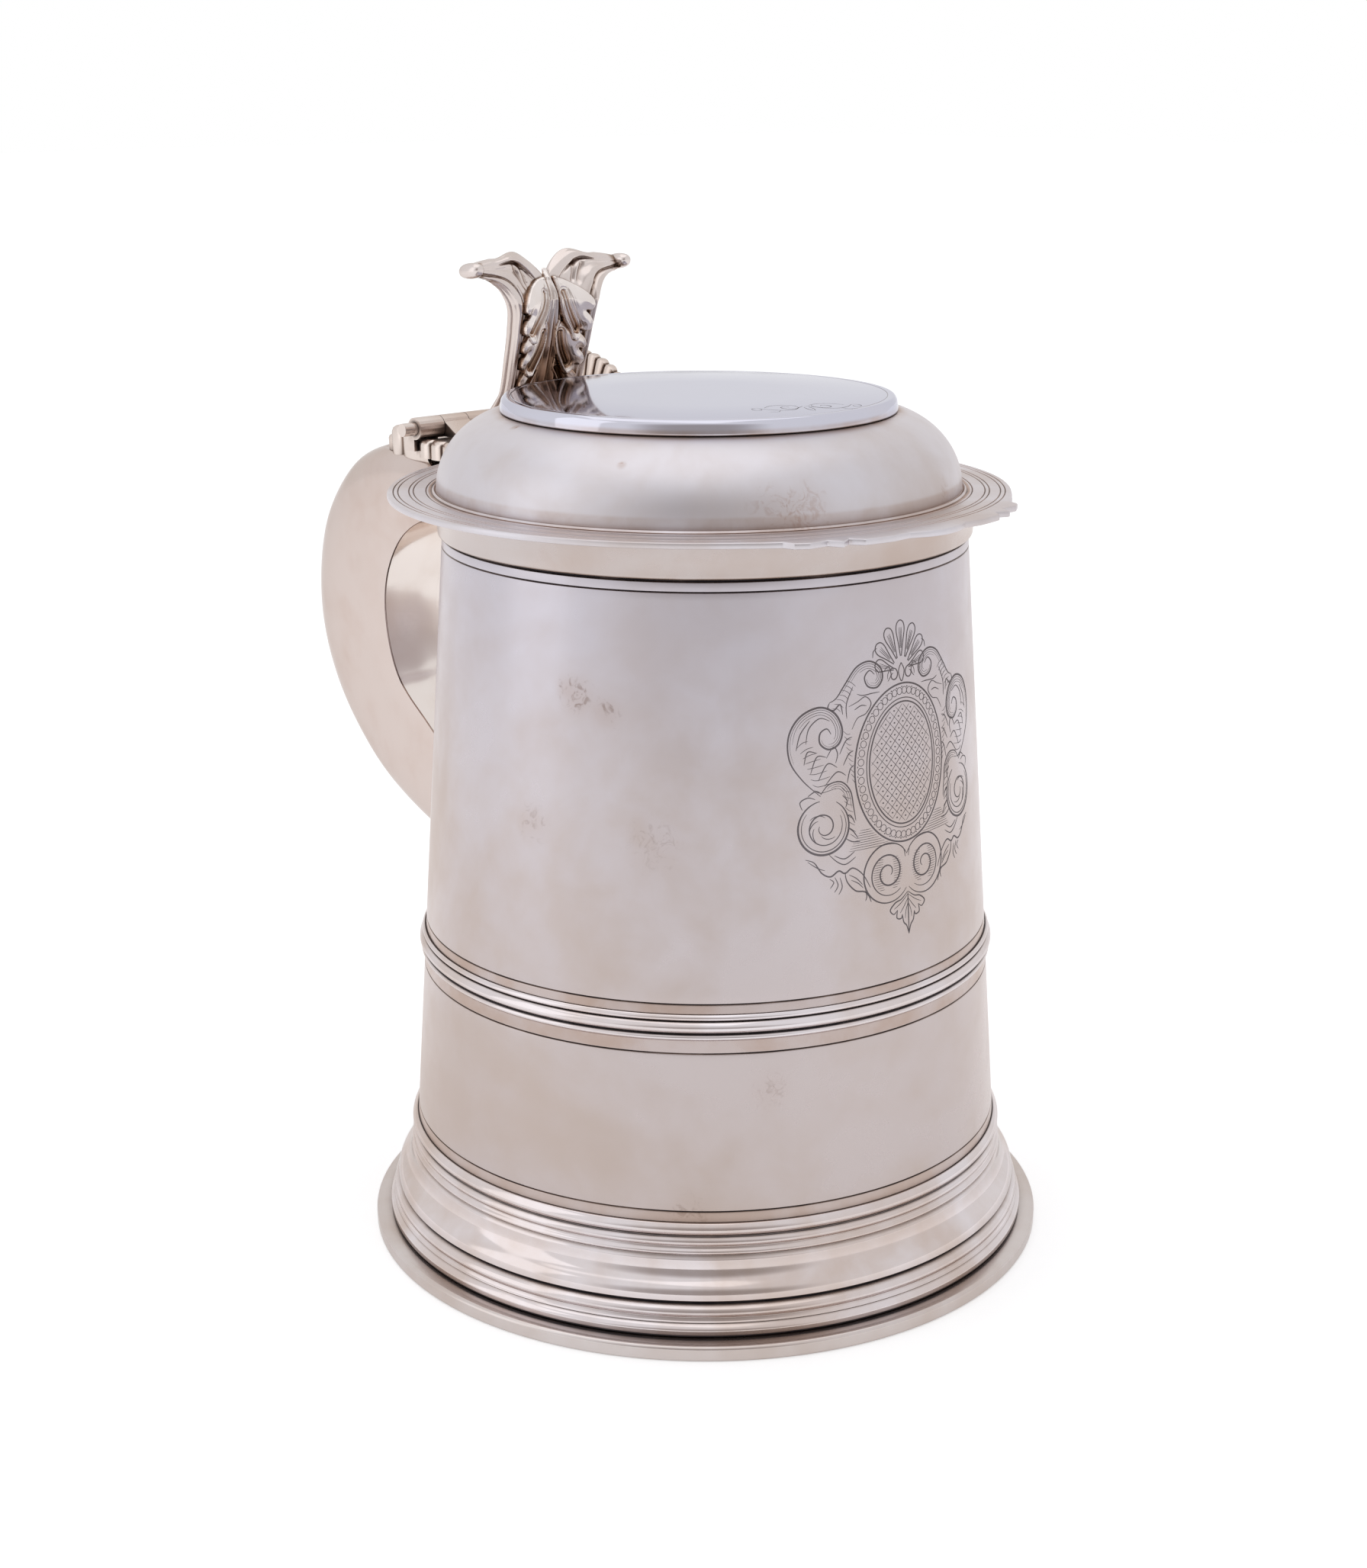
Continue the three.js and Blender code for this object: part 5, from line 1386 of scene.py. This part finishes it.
# The value is an occlusion measure; the materials paint shade, with tarnish, by it.
def add_hollows():
    verts, polys, start = [], [], 0
    targets = pieces + [nodes[n] for n in nodes if not nodes[n].hide_render]
    for obj in targets:
        mesh = obj.data
        co = np.empty(len(mesh.vertices) * 3)
        mesh.vertices.foreach_get("co", co)
        verts.append(co.reshape(-1, 3) / MM)
        polys += [[start + k for k in p.vertices] for p in mesh.polygons]
        start += len(mesh.vertices)
    everything = np.concatenate(verts)
    tree = BVHTree.FromPolygons([Vector(v) for v in everything], polys)
    for obj in targets:
        mesh = obj.data
        count = len(mesh.vertices)
        values = np.zeros(count, np.float32)
        for i, v in enumerate(mesh.vertices):
            n = v.normal
            p = v.co / MM
            total = 0.0
            for radius in HOLLOW_RADII:
                hit = tree.find_nearest(p + n * radius, radius)
                if hit[3] is not None:
                    total += 0.5 * max(0.0, 1 - hit[3] / radius)
            values[i] = min(1.0, total * 1.6)
        attribute = mesh.attributes.get("hollow") or mesh.attributes.new("hollow", "FLOAT", "POINT")
        attribute.data.foreach_set("value", values)


add_hollows()

# ---------------------------------------------------------------- floor, light and camera


def plain_floor():
    mesh = bpy.data.meshes.new("floor")
    s = 6.0
    mesh.from_pydata([(-s, -s, 0), (s, -s, 0), (s, s, 0), (-s, s, 0)], [], [(0, 1, 2, 3)])
    material = bpy.data.materials.new("floor_white")
    n = Nodes(material)
    out = n.add("OutputMaterial")
    diffuse = n.add("BsdfDiffuse", Color=(0.8, 0.8, 0.8, 1))
    glow = n.add("Emission")
    path = n.add("LightPath")
    seen = n.math("MAXIMUM", path.outputs["Is Camera Ray"], path.outputs["Is Glossy Ray"])
    seen = n.math("MAXIMUM", seen, path.outputs["Is Transmission Ray"])
    n.link(n.times(seen, 0.34), glow.inputs["Strength"])
    both = n.add("AddShader")
    n.link(diffuse.outputs[0], both.inputs[0])
    n.link(glow.outputs[0], both.inputs[1])
    n.link(both.outputs[0], out.inputs["Surface"])
    mesh.materials.append(material)
    link_object("floor", mesh)


plain_floor()

# The camera, from the photograph's vanishing lines: distance, height, downward pitch, roll and yaw
DIST, HEIGHT, PITCH, ROLL, YAW, FOCAL = 447.58, 216.90, 0.28401, -0.00287, -0.00912, 3214.34
TURN = math.radians(43)
PHOTO_WIDTH, SENSOR = 1792, 36


def to_part(v):
    x = -math.sin(TURN) * v[0] + math.cos(TURN) * v[1]
    y = -math.cos(TURN) * v[0] - math.sin(TURN) * v[1]
    return Vector((x, y, v[2]))


def add_camera():
    forward = Vector((math.sin(YAW) * math.cos(PITCH), math.cos(YAW) * math.cos(PITCH), -math.sin(PITCH)))
    right = Vector((math.cos(YAW), -math.sin(YAW), 0))
    up = right.cross(forward)
    right2 = math.cos(ROLL) * right + math.sin(ROLL) * up
    up2 = -math.sin(ROLL) * right + math.cos(ROLL) * up
    data = bpy.data.cameras.new("camera")
    data.sensor_fit = "HORIZONTAL"
    data.sensor_width = SENSOR
    data.lens = FOCAL / PHOTO_WIDTH * SENSOR
    data.clip_start = 0.01
    data.clip_end = 30
    obj = link_object("camera", data)
    axes = [to_part(right2), to_part(up2), -to_part(forward)]
    place = to_part(Vector((0, -DIST, HEIGHT))) * MM
    obj.matrix_world = Matrix(
        [[axes[0][k], axes[1][k], axes[2][k], place[k]] for k in range(3)] + [[0, 0, 0, 1]]
    )
    bpy.context.scene.camera = obj


add_camera()


# The darker room: where it lies, its soft edge and its colour; and the tent's level at its two sides
ROOM = (0, -1, 0.22)
ROOM_EDGE = (0.72, 0.985)
ROOM_COLOUR = (0.47, 0.44, 0.43)
SIDES = (0.98, 1.03)


def add_world():
    """White behind the object, a soft tent round it and a darker room behind the camera."""
    world = bpy.data.worlds.new("tent")
    bpy.context.scene.world = world
    n = Nodes(world)
    out = n.add("OutputWorld")
    path = n.add("LightPath")
    direction = n.add("TexCoord").outputs["Generated"]

    def toward(vector):
        node = n.add("VectorMath", operation="DOT_PRODUCT")
        n.link(direction, node.inputs[0])
        node.inputs[1].default_value = to_part(Vector(vector)).normalized()
        return node.outputs["Value"]

    room = n.ramp(toward(ROOM), *ROOM_EDGE)
    level = n.ramp(toward((-1, -0.2, 0)), -0.8, 0.8, *SIDES)
    colour = n.mix(room, (0.98, 0.985, 1.0), ROOM_COLOUR)
    tent = n.add("Background")
    n.link(colour, tent.inputs["Color"])
    n.link(level, tent.inputs["Strength"])
    white = n.add("Background", Color=(1, 1, 1, 1), Strength=1.0)
    behind = n.ramp(toward((0, 1, 0)), 0.2, 0.75)
    clear = n.math("MAXIMUM", path.outputs["Is Glossy Ray"], path.outputs["Is Transmission Ray"])
    share = n.math("MAXIMUM", path.outputs["Is Camera Ray"], n.times(clear, behind))
    mix = n.add("MixShader")
    n.link(share, mix.inputs["Fac"])
    n.link(tent.outputs[0], mix.inputs[1])
    n.link(white.outputs[0], mix.inputs[2])
    n.link(mix.outputs[0], out.inputs["Surface"])


add_world()


def area_light(name, place, target, size, power, colour=(1, 1, 1)):
    data = bpy.data.lights.new(name, "AREA")
    data.shape = "RECTANGLE"
    data.size, data.size_y = size
    data.energy = power
    data.color = colour
    obj = link_object(name, data)
    where = to_part(Vector(place)) * MM
    aim = to_part(Vector(target)) * MM
    obj.location = where
    obj.rotation_euler = (aim - where).to_track_quat("-Z", "Y").to_euler()
    obj.visible_camera = False


area_light("overhead", (-80, 40, 900), (0, 0, 60), (0.9, 0.9), 1.0)
area_light("left", (-820, -260, 380), (0, 0, 80), (0.5, 0.9), 0.55, (0.96, 0.98, 1.0))

scene = bpy.context.scene
scene.view_settings.view_transform = "Standard"
